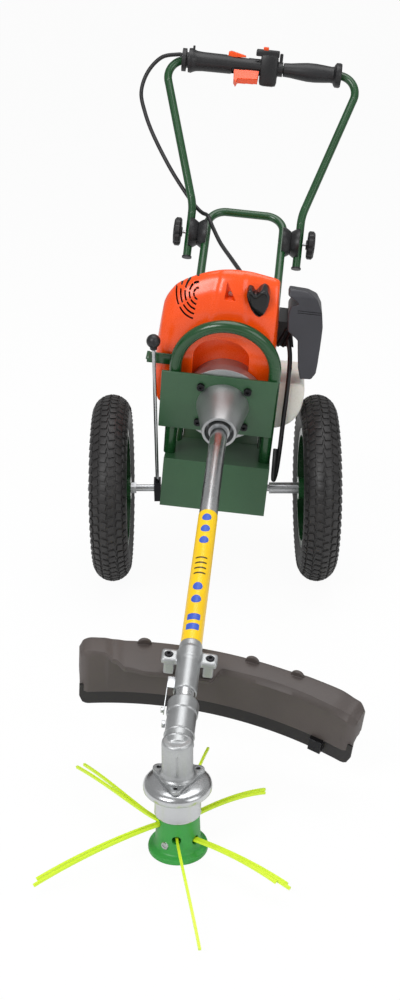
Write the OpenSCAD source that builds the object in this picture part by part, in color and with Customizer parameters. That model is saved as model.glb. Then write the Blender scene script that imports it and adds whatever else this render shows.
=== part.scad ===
// Wheeled string trimmer: engine trolley, long drive tube and a line head.
// Lengths in millimetres. The origin is the centre of the head's flat foot,
// +Y runs back to the handlebar and +Z is up.

/* [Placement] */
// sideways lean of the chassis over the level axle, degrees
chassis_lean = 6.5; // [5:0.5:6.5]
// downward slope of the lean pivot towards the rear, degrees
pivot_tilt = 35; // [30:1:40]
// rise of the drive tube towards the rear, degrees
shaft_pitch = 15.5; // [14:0.5:17]
// distance from the gear centre to the engine plate
line_len = 747; // [720:1:780]
// engine plate centre ahead of the axle
crank_ahead = 70; // [66:1:74]
// engine plate centre above the axle
crank_above = 177; // [172:1:182]

// overrun of every cut past the face it opens
cut = 1; // [0.5:0.25:2]

/* [Wheels] */
// wheel diameter over the tyre
wheel_d = 330; // [310:1:340]
// tyre width
tyre_w = 66; // [60:1:72]
// distance between the wheel centres
track = 360; // [354:1:384]
// rim seat diameter
rim_d = 200; // [190:1:206]
// wheel hub diameter
hub_d = 40; // [36:1:46]
// wheel hub length
hub_w = 64; // [58:1:70]
// axle diameter
axle_d = 12; // [10:0.5:14]
// axle spacer diameter
spacer_d = 20; // [18:0.5:22]
// axle nut across the flats
nut_w = 18; // [17:0.5:20]
// axle nut height
nut_h = 9; // [7:0.5:10]
// running clearance on a radius
run_gap = 0.05; // [0.03:0.01:0.08]

/* [Chassis] */
// base box width
box_w = 182; // [176:1:186]
// base box depth
box_d = 120; // [114:1:126]
// base box height
box_h = 88; // [84:1:94]
// how far the box hangs below the axle centre
box_drop = 18; // [14:1:20]
// sheet thickness of the box
sheet = 3; // [2:0.5:4]
// lean pivot block size
pivot_w = 40; // [36:1:44]
// lean pivot trunnion diameter
trunnion_d = 16; // [14:0.5:18]
// lean pivot lug thickness
lug_t = 8; // [6:0.5:9]
// hoop tube diameter
hoop_d = 20; // [18:0.5:22]
// hoop leg spacing to the middle
hoop_x = 84; // [80:1:88]
// hoop top above the plate centre
hoop_top = 145; // [138:1:150]
// engine plate width
plate_w = 190; // [184:1:196]
// engine plate above its centre
plate_up = 64; // [58:1:70]
// engine plate below its centre
plate_down = 54; // [50:1:58]
// engine plate thickness
plate_t = 4; // [3:0.5:5]
// plate bolt distance across
bolt_x = 39; // [37:0.5:42]
// plate bolt distance up
bolt_z = 35.5; // [34:0.5:37]
// bolt head diameter
bolt_head = 13; // [11:0.5:14]
// bolt shank diameter
bolt_d = 6; // [5:0.5:7]

/* [Lean lever] */
// lever rod diameter
lever_d = 6; // [5:0.5:7]
// lever length from axle to ball
lever_len = 312; // [300:1:320]
// lever forward slope, degrees
lever_slope = 18; // [17:0.5:19]
// lever place left of the middle
lever_x = 101; // [99:0.5:104]
// ball knob diameter
ball_d = 23; // [20:0.5:26]
// gate overhang left of the engine plate
gate_w = 42; // [40:1:46]
// gate height over the plate centre
gate_up = 70; // [68:1:74]
// gate depth
gate_d = 48; // [46:1:52]

/* [Drive line] */
// clutch housing diameter at the plate
clutch_d = 88; // [84:1:94]
// clutch housing length
clutch_len = 76; // [72:1:82]
// clutch housing diameter at the nose
nose_d = 57; // [54:0.5:60]
// drive tube diameter
tube_d = 28; // [26:0.5:30]
// drive tube wall
tube_wall = 2; // [1.5:0.5:3]
// drive tube start from the gear centre
tube_start = 66; // [62:1:70]
// drive shaft diameter
drive_d = 8; // [7:0.5:9]
// yellow band start from the gear centre
band_start = 174; // [174:1:186]
// yellow band length
band_len = 280; // [260:1:290]
// yellow band thickness
band_t = 0.5; // [0.3:0.1:0.8]
// bevel pinion tooth count
pinion_teeth = 14; // [13:1:15]
// bevel wheel tooth count
wheel_teeth = 19; // [18:1:20]
// bevel gear cone length
cone_len = 13.5; // [13:0.25:14]

/* [Line head] */
// head foot diameter
foot_d = 76; // [70:1:82]
// head foot thickness
foot_h = 15; // [13:0.5:17]
// green hub diameter
head_d = 54; // [50:1:58]
// green hub top
head_top = 64; // [61:0.5:66]
// silver ring diameter
ring_d = 58; // [56:0.5:61]
// silver ring top
ring_top = 96; // [94:0.5:97]
// line hole diameter
hole_d = 12; // [11.75:0.05:12]
// trimmer line diameter
line_d = 3; // [2.4:0.2:3.6]
// running gap between head and gear case
head_gap = 2; // [1:0.25:3]
// longest line tip radius
line_reach = 199; // [186:1:204]
// gear case flange diameter
flange_d = 85; // [80:1:90]
// gear case flange thickness
flange_t = 10; // [8:0.5:11]
// gear case diameter
case_d = 40; // [39:0.5:43]
// gear case top
case_top = 174; // [172:0.5:180]

/* [Guard] */
// guard shell left reach, degrees
guard_left = 13; // [11:0.5:14]
// guard shell right reach, degrees
guard_right = 31.5; // [29:0.5:33]
// guard wall radius in plan
guard_r = 512; // [495:1:530]
// guard wall distance behind the gear centre
guard_at = 173; // [171:0.5:176]
// guard arc centre left of the tube
guard_side = 30; // [24:1:36]
// guard top flange width
guard_flange = 36; // [33:1:38]
// guard top below the tube centre
guard_low = 26; // [24:0.5:30]
// guard shell height
guard_h = 66; // [60:1:72]
// guard shell wall
guard_t = 3; // [2.5:0.5:4]
// guard skirt depth below the shell
skirt_h = 18; // [14:1:22]
// guard roll about the tube, degrees
guard_roll = 5.5; // [4:0.5:7]
// guard clamp distance from the gear centre
clamp_at = 160; // [157:1:160]
// guard clamp bolt spacing
clamp_w = 56; // [52:1:60]

/* [Rear frame and handlebar] */
// rear frame and handlebar tube diameter
bar_d = 16; // [15:0.5:17]
// rear and handlebar tube wall
bar_wall = 1.5; // [1:0.25:2]
// rear frame leg spacing to the middle
rear_x = 75; // [73:1:78]
// hinge place behind the axle
hinge_back = 430; // [420:1:440]
// hinge place above the axle
hinge_up = 357; // [350:1:364]
// rear frame top past the hinge
rear_past = 72; // [66:1:80]
// handlebar leg spacing to the middle
handle_x = 108; // [107:0.5:110]
// handlebar half width at the grips
grip_x = 200; // [190:1:210]
// handlebar length past the hinge
handle_len = 352; // [340:1:370]
// handlebar slope, degrees
handle_pitch = 61; // [58:1:64]
// hinge disc diameter
disc_d = 34; // [31:1:37]
// hinge knob diameter
knob_d = 40; // [36:1:44]
// throttle barrel diameter
barrel_d = 34; // [32:0.5:37]
// throttle handle length
throttle_len = 188; // [180:1:189]
// throttle handle end right of the middle
throttle_end = 35; // [32:1:38]
// right grip length
grip_len = 112; // [104:1:118]
// trigger thickness
trigger_t = 12; // [10:0.5:13]
// cable sheath diameter
cable_d = 7; // [6:0.5:7.5]

/* [Engine] */
// engine cover width
cover_w = 196; // [190:1:200]
// engine cover height
cover_h = 198; // [192:1:202]
// engine cover depth
cover_d = 160; // [150:1:166]
// engine cover wall
cover_t = 3; // [2:0.5:4]
// engine cover front behind the plate
cover_back = 26; // [25:0.5:29]
// crankcase diameter
case_rim_d = 140; // [134:1:142]
// cylinder diameter
jug_d = 66; // [60:1:70]
// air filter cover height
filter_h = 156; // [150:1:160]
// air filter cover depth
filter_d = 90; // [84:1:96]
// fuel tank width
tank_w = 55; // [53:1:56]
// fuel tank height
tank_h = 116; // [110:1:120]
// fuel tank depth
tank_d = 130; // [120:1:136]
// fuel cap diameter
cap_d = 44; // [40:1:48]

/* [Hidden] */
$fn = 48;
wheel_r = wheel_d / 2;
box_top = box_h - box_drop;
crank = [0, -crank_ahead, crank_above];
lean_axis = [0, cos(pivot_tilt), -sin(pivot_tilt)];
function lean_point(p) = p * cos(chassis_lean) + cross(lean_axis, p) * sin(chassis_lean)
    + lean_axis * (lean_axis * p) * (1 - cos(chassis_lean));
shaft_dir = lean_point([0, cos(shaft_pitch), sin(shaft_pitch)]);
line_turn = atan2(shaft_dir.x, shaft_dir.y);
line_pitch = asin(shaft_dir.z);
gear_z = wheel_r + lean_point(crank).z - line_len * shaft_dir.z;
axle_at = [0, 0, gear_z] + line_len * shaft_dir - lean_point(crank);
rear_foot_share = 0.35;
rear_foot = box_d * rear_foot_share;
rear_pitch = atan2(hinge_up - box_top, hinge_back - rear_foot);
rear_len = norm([hinge_up - box_top, hinge_back - rear_foot]);
mid_x = (rear_x + handle_x) / 2;

module on_chassis() translate(axle_at) rotate(a = chassis_lean, v = lean_axis) children();
module on_axle() translate(axle_at) children();
module on_pivot() on_chassis() rotate([-pivot_tilt, 0, 0]) children();
module on_engine() on_chassis() translate(crank) rotate([shaft_pitch, 0, 0]) children();
module on_line() rotate([0, 0, -line_turn]) translate([0, 0, gear_z]) children();
module on_shaft() on_line() rotate([line_pitch, 0, 0]) children();
module on_rear() on_chassis() translate([0, rear_foot, box_top]) rotate([rear_pitch, 0, 0]) children();
module on_hinge() on_chassis() translate([0, hinge_back, hinge_up]) children();
module on_handle() on_hinge() rotate([handle_pitch, 0, 0]) children();
module on_grip() on_handle() translate([0, handle_len, 0]) rotate([-handle_pitch, 0, 0]) children();
module along_y() rotate([-90, 0, 0]) children();
module along_x() rotate([0, 90, 0]) children();
module both() {
  children();
  mirror([1, 0, 0]) children();
}
module ring(od, id, h) difference() {
  cylinder(d = od, h = h);
  translate([0, 0, -cut]) cylinder(d = id, h = h + 2 * cut);
}
module hex(w, h) cylinder(d = w / cos(30), h = h, $fn = 6);
module block(lo, hi) translate(lo) cube(hi - lo);

// planar bent tube through points, with a bend radius at every inner point
function unit(v) = v / norm(v);
function bend_half(a, b, c) = (180 - acos(unit(a - b) * unit(c - b))) / 2;
function bend_cut(p, r, i) = (i == 0 || i == len(p) - 1) ? 0 : r[i] * tan(bend_half(p[i - 1], p[i],
  p[i + 1]));
function heading(p, i) = atan2(p[i + 1].y - p[i].y, p[i + 1].x - p[i].x);
function turn_at(p, i) = (heading(p, i) - heading(p, i - 1) + 540) % 360 - 180;
swage_share = 1.02;
module tube_run(p, r, d, i) {
  l = norm(p[i + 1] - p[i]) - bend_cut(p, r, i) - bend_cut(p, r, i + 1);
  rotate([-90, 0, 0]) cylinder(d = d, h = l);
  if (i < len(p) - 2) translate([0, l, 0]) {
    turn = turn_at(p, i + 1);
    side = turn > 0 ? 1 : -1;
    sphere(d = d * swage_share);
    translate([-side * r[i + 1], 0, 0]) rotate(turn) translate([side * r[i + 1], 0, 0])
      sphere(d = d * swage_share);
    mirror([(1 - side) / 2, 0, 0]) translate([-r[i + 1], 0, 0])
      rotate_extrude(angle = side * turn) translate([r[i + 1], 0]) circle(d = d);
    translate([-side * r[i + 1], 0, 0]) rotate(turn) translate([side * r[i + 1], 0, 0])
      tube_run(p, r, d, i + 1);
  }
}
module bent_tube(p, r, d) translate([p[0].x, p[0].y, 0]) rotate(heading(p, 0) - 90) tube_run(p, r, d, 0);
module hollow_tube(p, r, d, wall) difference() {
  bent_tube(p, r, d);
  bent_tube(p, r, d - 2 * wall);
}

// swept round cord through points, eased by a curve through every point
function ease(a, b, c, d, t) = 0.5 * (2 * b + (c - a) * t + (2 * a - 5 * b + 4 * c - d) * t * t
    + (3 * b - a - 3 * c + d) * t * t * t);
function cord_at(p, i, t) = ease(p[max(i - 1, 0)], p[i], p[i + 1], p[min(i + 2, len(p) - 1)], t);
function cord_path(p, n) = concat([for (i = [0 : len(p) - 2]) for (k = [0 : n - 1]) cord_at(p, i, k / n)],
    [p[len(p) - 1]]);
function cord_way(q, i) = unit(q[min(i + 1, len(q) - 1)] - q[max(i - 1, 0)]);
function side_step(s, w) = unit(s - w * (s * w));
function cord_sides(q, i, s) = i == len(q) ? []
    : let (e = side_step(s, cord_way(q, i))) concat([e], cord_sides(q, i + 1, e));
module cord(p, n, d, sides) {
  q = cord_path(p, n);
  e = cord_sides(q, 0, [0.3, 1, 0.2]);
  m = len(q);
  pts = [for (i = [0 : m - 1]) for (k = [0 : sides - 1])
    q[i] + d / 2 * (e[i] * cos(360 * k / sides) + cross(cord_way(q, i), e[i]) * sin(360 * k / sides))];
  quads = [for (i = [0 : m - 2]) for (k = [0 : sides - 1]) let (j = (k + 1) % sides)
    [i * sides + k, i * sides + j, (i + 1) * sides + j, (i + 1) * sides + k]];
  polyhedron(pts, concat(quads, [[for (k = [sides - 1 : -1 : 0]) k]],
    [[for (k = [0 : sides - 1]) (m - 1) * sides + k]]));
}

// chassis: folded base box with axle notches and a lower-edge lip
notch_share = 1.25;
module base_box() color("#20512f") {
  difference() {
    on_chassis() difference() {
      block([-box_w / 2, -box_d / 2, -box_drop], [box_w / 2, box_d / 2, box_top]);
      block([-box_w / 2 + sheet, -box_d / 2 + sheet, -box_drop - cut],
        [box_w / 2 - sheet, box_d / 2 - sheet, box_top - sheet]);
    }
    on_pivot() both() translate([box_w / 2 - 2 * sheet, 0, 0]) {
      along_x() cylinder(d = 2 * axle_d * notch_share + axle_d, h = 4 * sheet);
      block([0, -axle_d * notch_share - axle_d / 2, -box_h],
        [4 * sheet, axle_d * notch_share + axle_d / 2, 0]);
    }
  }
}
tray_len_share = 1.4;
module tray_panel() color("#20512f") on_rear() difference() {
  block([-rear_x + bar_d / 2, 0, -bar_d / 2],
    [rear_x - bar_d / 2, box_d * tray_len_share, -bar_d / 2 + sheet]);
  rotate([-rear_pitch, 0, 0]) block([-box_w, -box_w, -box_w], [box_w, box_w, 0]);
}
module hoop_tube() color("#23602f") difference() {
  on_engine() translate([0, plate_t + hoop_d / 2, 0]) rotate([90, 0, 0]) hollow_tube(
    [[-hoop_x, -box_h - box_top], [-hoop_x, hoop_top - hoop_d / 2], [hoop_x, hoop_top - hoop_d / 2],
     [hoop_x, -box_h - box_top]],
    [0, hoop_x - bar_wall, hoop_x - bar_wall, 0], hoop_d, 2 * bar_wall);
  on_chassis() block([-box_w, -box_w, -box_w - box_h], [box_w, box_w, box_top]);
}
module engine_plate() color("#20512f") on_engine() difference() {
  block([-plate_w / 2, 0, -plate_down], [plate_w / 2, plate_t, plate_up]);
  translate([0, -cut, 0]) along_y() cylinder(d = drum_d + 2 * clear, h = plate_t + 2 * cut);
  for (i = [-1, 1], j = [-1, 1]) translate([i * bolt_x, -cut, j * bolt_z])
    along_y() cylinder(d = bolt_d, h = plate_t + 2 * cut);
}
clear_share = 0.05;
clear = bolt_d * clear_share;
drum_share = 0.62;
drum_d = clutch_d * drum_share;
module plate_bolts() color("#2b2b2d") on_engine() for (i = [-1, 1], j = [-1, 1])
  translate([i * bolt_x, 0, j * bolt_z]) {
    translate([0, -bolt_d, 0]) along_y() difference() {
      cylinder(d = bolt_head, h = bolt_d);
      translate([0, 0, -cut]) hex(bolt_d, bolt_d / 2 + cut);
    }
    along_y() cylinder(d = bolt_d, h = plate_t + 2 * bolt_d);
  }
module lever_gate() color("#23602f") on_engine() difference() {
  union() {
    block([-plate_w / 2 - gate_w, plate_t + hoop_d / 2 - gate_d + hoop_d, gate_up],
      [-hoop_x, plate_t + hoop_d, gate_up + sheet]);
    block([-plate_w / 2 - gate_w, plate_t + hoop_d / 2 - gate_d + hoop_d, gate_up - 4 * sheet],
      [-hoop_x - hoop_d / 2, plate_t + hoop_d / 2 - gate_d + hoop_d + sheet, gate_up + sheet]);
  }
  translate([-hoop_x, plate_t + hoop_d / 2, gate_up - 5 * sheet]) cylinder(d = hoop_d, h = 8 * sheet);
  block([-plate_w / 2 - gate_w * gate_slot_share, -2 * lever_d, gate_up - cut],
    [-hoop_x - hoop_d / 2 - sheet / 2, plate_t + 2 * lever_d, gate_up + sheet + cut]);
}
gate_slot_share = 0.86;

// lean pivot: two lugs under the box top carry the trunnions of the axle block
module pivot_lugs() color("#20512f") intersection() {
  on_chassis() block([-box_w / 2 + sheet, -box_d / 2 + sheet, -box_h],
    [box_w / 2 - sheet, box_d / 2 - sheet, box_top - sheet]);
  on_pivot() for (s = [-1, 1]) translate([0, s * (pivot_w / 2 + clear + lug_t / 2), 0]) difference() {
    block([-pivot_w / 2, -lug_t / 2, -trunnion_d], [pivot_w / 2, lug_t / 2, 2 * box_h]);
    translate([0, -lug_t, 0]) along_y() cylinder(d = trunnion_d + 2 * run_gap, h = 2 * lug_t);
  }
}
module pivot_block() color("#3a3c3f") on_axle() rotate([-pivot_tilt, 0, 0]) difference() {
  union() {
    cube(pivot_w, center = true);
    translate([0, -pivot_w / 2 - 2 * clear - lug_t, 0]) along_y()
      cylinder(d = trunnion_d, h = pivot_w + 4 * clear + 2 * lug_t);
  }
  translate([-pivot_w, 0, 0]) along_x() cylinder(d = axle_d, h = 2 * pivot_w);
}
axle_half = track / 2 + hub_w / 2 + clear + nut_h + sheet;
module axle() color("#c3c5c7") on_axle() translate([-axle_half, 0, 0]) along_x()
  cylinder(d = axle_d, h = 2 * axle_half);
module axle_nut(x) translate([x, 0, 0]) along_x() difference() {
  hex(nut_w, nut_h);
  translate([0, 0, -cut]) cylinder(d = axle_d, h = nut_h + 2 * cut);
}
module axle_nuts() color("#b9bbbd") on_axle() {
  axle_nut(track / 2 + hub_w / 2 + clear);
  axle_nut(-track / 2 - hub_w / 2 - clear - nut_h);
  axle_nut(-track / 2 + hub_w / 2 + clear);
}
sleeve_start = box_w / 2 + 2 * sheet;
module axle_sleeve() color("#b4b6b9") on_axle() translate([sleeve_start, 0, 0]) along_x()
  ring(spacer_d, axle_d, track / 2 - hub_w / 2 - clear - sleeve_start);
foot_w = axle_d + lever_d;
module lever_foot() color("#1f3326") on_axle() translate([-lever_x, 0, 0]) difference() {
  rotate([lever_slope, 0, 0]) block([-lever_d, -foot_w / 2, -2 * axle_d], [lever_d, foot_w / 2, foot_w]);
  translate([-2 * lever_d, 0, 0]) along_x() cylinder(d = axle_d, h = 4 * lever_d);
  rotate([lever_slope, 0, 0]) translate([0, 0, axle_d / 2]) cylinder(d = lever_d, h = 2 * axle_d);
}
module lean_lever() color("#b8babc") on_axle() translate([-lever_x, 0, 0]) rotate([lever_slope, 0, 0])
  translate([0, 0, axle_d]) cylinder(d = lever_d, h = lever_len - axle_d);
module ball_knob() color("#161618") on_axle() translate([-lever_x, 0, 0]) rotate([lever_slope, 0, 0])
  difference() {
    union() {
      translate([0, 0, lever_len]) sphere(d = ball_d);
      translate([0, 0, lever_len - ball_d / 2 - lever_d / 2]) cylinder(d = 2 * lever_d, h = ball_d / 2);
    }
    translate([0, 0, lever_len - ball_d]) cylinder(d = lever_d, h = ball_d);
  }

// wheels: rubber tyre on a dished green rim running on the axle
tyre_crown_share = 0.42;
groove_shares = [-0.26, -0.09, 0.09, 0.26];
groove_share = 0.05;
module tyre() along_x() rotate_extrude($fn = 96) difference() {
  intersection() {
    union() {
      translate([wheel_r - tyre_w / 2, 0]) circle(d = tyre_w);
      translate([rim_d / 2, -rim_w / 2 + sheet])
        square([wheel_r - tyre_w / 2 - rim_d / 2, rim_w - 2 * sheet]);
    }
    translate([rim_d / 2, -tyre_w]) square([wheel_r, 2 * tyre_w]);
  }
  translate([wheel_r - tyre_w / 2, 0]) circle(d = tyre_w * tube_share);
  translate([rim_d / 2 - cut, -tyre_w * bead_share]) square([tyre_w / 2, 2 * tyre_w * bead_share]);
  for (g = groove_shares) translate([wheel_r - tyre_w / 2, 0]) rotate(g * 180)
    translate([tyre_w * tyre_crown_share, -tyre_w * groove_share / 2])
      square([tyre_w, tyre_w * groove_share]);
}
rim_w_share = 0.8;
rim_w = tyre_w * rim_w_share;
tube_share = 0.8;
bead_share = 0.2;
web_share = 0.12;
rim_ribs = 6;
rib_share = 0.3;
module rim() along_x() {
  rotate_extrude($fn = 96) difference() {
    union() {
      translate([rim_d / 2 - 2 * sheet, -rim_w / 2]) square([2 * sheet, rim_w]);
      for (s = [-1, 1]) translate([rim_d / 2 - sheet, s * (rim_w / 2 - sheet / 2) - sheet / 2])
        square([3 * sheet, sheet]);
      translate([axle_d, -rim_w * web_share / 2]) square([rim_d / 2 - axle_d - sheet, rim_w * web_share]);
      translate([0, -hub_w / 2]) square([hub_d / 2, hub_w]);
    }
    translate([0, -hub_w]) square([axle_d / 2 + run_gap, 2 * hub_w]);
  }
  for (i = [0 : rim_ribs - 1]) rotate(360 * i / rim_ribs)
    block([hub_d / 2 - sheet, -sheet, -rim_w * rib_share],
      [rim_d / 2 - sheet * 3 / 2, sheet, rim_w * rib_share]);
}
module tyre_left() color("#1c1c1e") on_axle() translate([-track / 2, 0, 0]) tyre();
module tyre_right() color("#1c1c1e") on_axle() translate([track / 2, 0, 0]) tyre();
module rim_left() color("#23602f") on_axle() translate([-track / 2, 0, 0]) rim();
module rim_right() color("#23602f") on_axle() translate([track / 2, 0, 0]) rim();

// rear frame, folding handlebar and the clamped hinge between them
bend_share = 2.25;
rear_bend = bar_d * bend_share;
rear_top = rear_len + rear_past - bar_d / 2;
pin_d = bolt_d + 2 * clear;
module rear_frame() color("#23602f") difference() {
  on_rear() hollow_tube([[-rear_x, -4 * bar_d], [-rear_x, rear_top], [rear_x, rear_top],
    [rear_x, -4 * bar_d]], [0, rear_bend, rear_bend, 0], bar_d, bar_wall);
  on_chassis() block([-box_w, -box_w, -box_w], [box_w, box_w, box_top]);
  on_hinge() both() translate([rear_x - bar_d, 0, 0]) along_x() cylinder(d = pin_d, h = 2 * bar_d);
}
lower_share = 0.136;
upper_share = 0.16;
handle_low = -handle_len * lower_share;
handle_bend = handle_len * upper_share;
module handlebar() color("#23602f") difference() {
  on_handle() hollow_tube([[-handle_x, handle_low], [-handle_x, handle_bend], [-grip_x, handle_len],
    [grip_x, handle_len], [handle_x, handle_bend], [handle_x, handle_low]],
    [0, 3 * rear_bend, rear_bend, rear_bend, 3 * rear_bend, 0], bar_d, bar_wall);
  on_hinge() both() translate([handle_x - bar_d, 0, 0]) along_x() cylinder(d = pin_d, h = 2 * bar_d);
}
waist_share = 0.72;
module hinge_disc(l) difference() {
  union() {
    cylinder(d = disc_d * waist_share, h = l / 2);
    translate([0, 0, l / 2]) cylinder(d1 = disc_d * waist_share, d2 = disc_d, h = l / 4);
    translate([0, 0, l * 3 / 4]) cylinder(d = disc_d, h = l / 4);
  }
  translate([0, 0, -cut]) cylinder(d = pin_d, h = l + 2 * cut);
}
module frame_discs() color("#1d1d1f") on_hinge() both() difference() {
  translate([rear_x, 0, 0]) along_x() hinge_disc(mid_x - rear_x - clear / 2);
  translate([rear_x, 0, 0]) rotate([rear_pitch - 90, 0, 0])
    cylinder(d = bar_d, h = 4 * bar_d, center = true);
}
module handle_discs() color("#1d1d1f") on_hinge() both() difference() {
  translate([handle_x, 0, 0]) mirror([1, 0, 0]) along_x() hinge_disc(handle_x - mid_x - clear / 2);
  translate([handle_x, 0, 0]) rotate([handle_pitch - 90, 0, 0])
    cylinder(d = bar_d, h = 4 * bar_d, center = true);
}
cap_t_share = 0.2;
cap_t = bar_d * cap_t_share;
module tube_caps() color("#1d1d1f") on_handle() both() translate([handle_x, handle_low, 0]) along_y() {
  translate([0, 0, -cap_t]) cylinder(d = bar_d + cap_t, h = cap_t);
  cylinder(d = bar_d - 2 * bar_wall, h = bar_d);
}
knob_h_share = 0.42;
knob_h = knob_d * knob_h_share;
knob_lobes = 6;
lobe_share = 0.3;
module hinge_knob() {
  translate([handle_x + bar_d / 2 + clear, 0, 0]) along_x() difference() {
    union() {
      cylinder(d = knob_d / 2, h = knob_h / 3);
      translate([0, 0, knob_h / 3]) cylinder(d = knob_d, h = knob_h * 2 / 3);
    }
    for (i = [0 : knob_lobes - 1]) rotate(360 * i / knob_lobes)
      translate([knob_d / 2, 0, knob_h / 3 - cut]) cylinder(d = knob_d * lobe_share, h = knob_h + 2 * cut);
  }
  translate([rear_x - bar_d, 0, 0]) along_x() cylinder(d = bolt_d, h = handle_x - rear_x + 2 * bar_d);
  translate([rear_x - bar_d / 2 - clear - bolt_d, 0, 0]) along_x() hex(2 * bolt_d, bolt_d);
}
module hinge_knob_left() color("#1d1d1f") on_hinge() mirror([1, 0, 0]) hinge_knob();
module hinge_knob_right() color("#1d1d1f") on_hinge() hinge_knob();

// clutch housing: cast cone bolted to the plate, with a collar for the drive tube
cast_share = 0.05;
cast_t = clutch_d * cast_share;
web_at_share = 0.6;
web_at = clutch_len * web_at_share;
collar_share = 1.25;
module clutch_housing() color("#b9bbbb") on_engine() rotate([90, 0, 0]) difference() {
  cylinder(d1 = clutch_d, d2 = nose_d, h = clutch_len);
  translate([0, 0, -cut]) cylinder(d1 = clutch_d - 2 * cast_t, d2 = nose_d - 2 * cast_t, h = web_at + cut);
  translate([0, 0, web_at + cast_t]) difference() {
    cylinder(d = nose_d - 2 * cast_t, h = clutch_len);
    cylinder(d = tube_d * collar_share, h = clutch_len);
  }
  translate([0, 0, -cut]) cylinder(d = tube_d, h = clutch_len + 2 * cut);
}
tube_end = line_len - web_at + cast_t;
module drive_tube() color("#c2c4c6") on_shaft() translate([0, tube_start, 0]) along_y()
  ring(tube_d, tube_d - 2 * tube_wall, tube_end - tube_start);
module yellow_band() color("#f2c500") on_shaft() translate([0, band_start, 0]) along_y()
  ring(tube_d + 2 * band_t, tube_d, band_len);

// bevel gear pair: cone angles follow from the tooth counts and the axis angle
axes_angle = 90 + line_pitch;
pinion_cone = atan2(sin(axes_angle), wheel_teeth / pinion_teeth + cos(axes_angle));
wheel_cone = axes_angle - pinion_cone;
tooth_size = 2 * cone_len * sin(pinion_cone) / pinion_teeth;
add_share = 0.8;
ded_share = 1.2;
tip_half_share = 0.08;
root_half_share = 0.275;
face_share = 0.42;
function cone_r(cone, rise) = cone_len * cos(cone) * tan(cone + atan2(rise * tooth_size, cone_len));
function tooth_ring(n, cone) = [for (i = [0 : n - 1]) each [
  let (a = (i - root_half_share) * 360 / n) cone_r(cone, -ded_share) * [cos(a), sin(a)],
  let (a = (i - tip_half_share) * 360 / n) cone_r(cone, add_share) * [cos(a), sin(a)],
  let (a = (i + tip_half_share) * 360 / n) cone_r(cone, add_share) * [cos(a), sin(a)],
  let (a = (i + root_half_share) * 360 / n) cone_r(cone, -ded_share) * [cos(a), sin(a)]]];
module bevel_teeth(n, cone) translate([0, 0, cone_len * cos(cone)]) mirror([0, 0, 1])
  linear_extrude(height = cone_len * cos(cone) * face_share, scale = 1 - face_share)
    polygon(tooth_ring(n, cone));
pinion_back = cone_len * cos(pinion_cone);
wheel_back = cone_len * cos(wheel_cone);
bearing_share = 0.6;
pinion_hub_share = 1.4;
bearing_d = case_d * bearing_share;
bearing_h = drive_d;
module bevel_pinion() color("#8f9194") on_shaft() along_y() {
  rotate(90) bevel_teeth(pinion_teeth, pinion_cone);
  translate([0, 0, pinion_back]) cylinder(d = drive_d * pinion_hub_share, h = drive_d / 2);
  translate([0, 0, pinion_back]) cylinder(d = drive_d, h = tube_start / 2 - pinion_back);
}
module drive_shaft() color("#9a9c9f") on_shaft() translate([0, tube_start / 2, 0]) along_y() {
  cylinder(d = drive_d, h = line_len - cast_t - tube_start / 2);
  translate([0, 0, line_len - tube_start / 2 - web_at * 2 / 3]) difference() {
    cylinder(d = drum_d, h = web_at * 2 / 3 - cast_t);
    translate([0, 0, cast_t]) ring(drum_d - 2 * cast_t, 2 * drive_d, web_at);
  }
}
case_floor = -case_d / 2;
module bevel_wheel() color("#8f9194") on_line() {
  rotate([180, 0, 0]) rotate(-90 + 180 / wheel_teeth) bevel_teeth(wheel_teeth, wheel_cone);
  translate([0, 0, case_floor + clear]) cylinder(d = 2 * drive_d, h = -wheel_back - case_floor - clear);
  translate([0, 0, foot_h - gear_z]) cylinder(d = drive_d, h = gear_z - foot_h - wheel_back);
}
module gear_bearings() color("#a5a7aa") on_line() {
  rotate([line_pitch, 0, 0]) translate([0, pinion_back + drive_d / 2 + clear, 0]) along_y()
    ring(bearing_d, drive_d + 2 * run_gap, bearing_h);
  translate([0, 0, case_floor - bearing_h]) ring(bearing_d, drive_d + 2 * run_gap, bearing_h);
}
case_wall_share = 0.075;
case_wall = case_d * case_wall_share;
flange_z = ring_top + head_gap - gear_z;
neck_share = 1.58;
neck_len = tube_start * neck_share;
neck_d_share = 1.32;
neck_d = tube_d * neck_d_share;
pad_share = 0.37;
module gear_case() color("#b4b7b8") on_line() difference() {
  union() {
    translate([0, 0, flange_z]) cylinder(d = flange_d, h = flange_t);
    translate([0, 0, flange_z + flange_t]) for (i = [0 : 2]) rotate(90 + i * 120) {
      translate([flange_d * pad_share, 0, 0]) cylinder(d = 2 * bolt_head, h = cast_t);
      block([0, -bolt_head, 0], [flange_d * pad_share, bolt_head, cast_t]);
    }
    translate([0, 0, flange_z]) cylinder(d = case_d, h = case_top - gear_z - flange_z);
    rotate([line_pitch, 0, 0]) along_y() cylinder(d = neck_d, h = neck_len);
    rotate([line_pitch, 0, 0]) translate([0, neck_len, 0]) rotate([90, 0, 0])
      cylinder(d = neck_d + case_wall, h = neck_len - tube_start);
    rotate([line_pitch, 0, 0]) translate([-neck_d * 2 / 3, tube_start + bolt_head, 0])
      along_x() cylinder(d = bolt_head, h = neck_d / 2);
  }
  translate([0, 0, case_floor])
    cylinder(d = case_d - 2 * case_wall, h = case_top - gear_z - case_floor - case_wall);
  translate([0, 0, flange_z - cut]) cylinder(d = bearing_d, h = case_floor - flange_z + 2 * cut);
  rotate([line_pitch, 0, 0]) along_y() cylinder(d = bearing_d, h = tube_start + cut);
  rotate([line_pitch, 0, 0]) translate([0, tube_start, 0]) along_y() cylinder(d = tube_d, h = neck_len);
  for (i = [0 : 2]) rotate(90 + i * 120) translate([flange_d * pad_share, 0, flange_z - cut])
    cylinder(d = bolt_d, h = flange_t + cast_t + 2 * cut);
}
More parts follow.
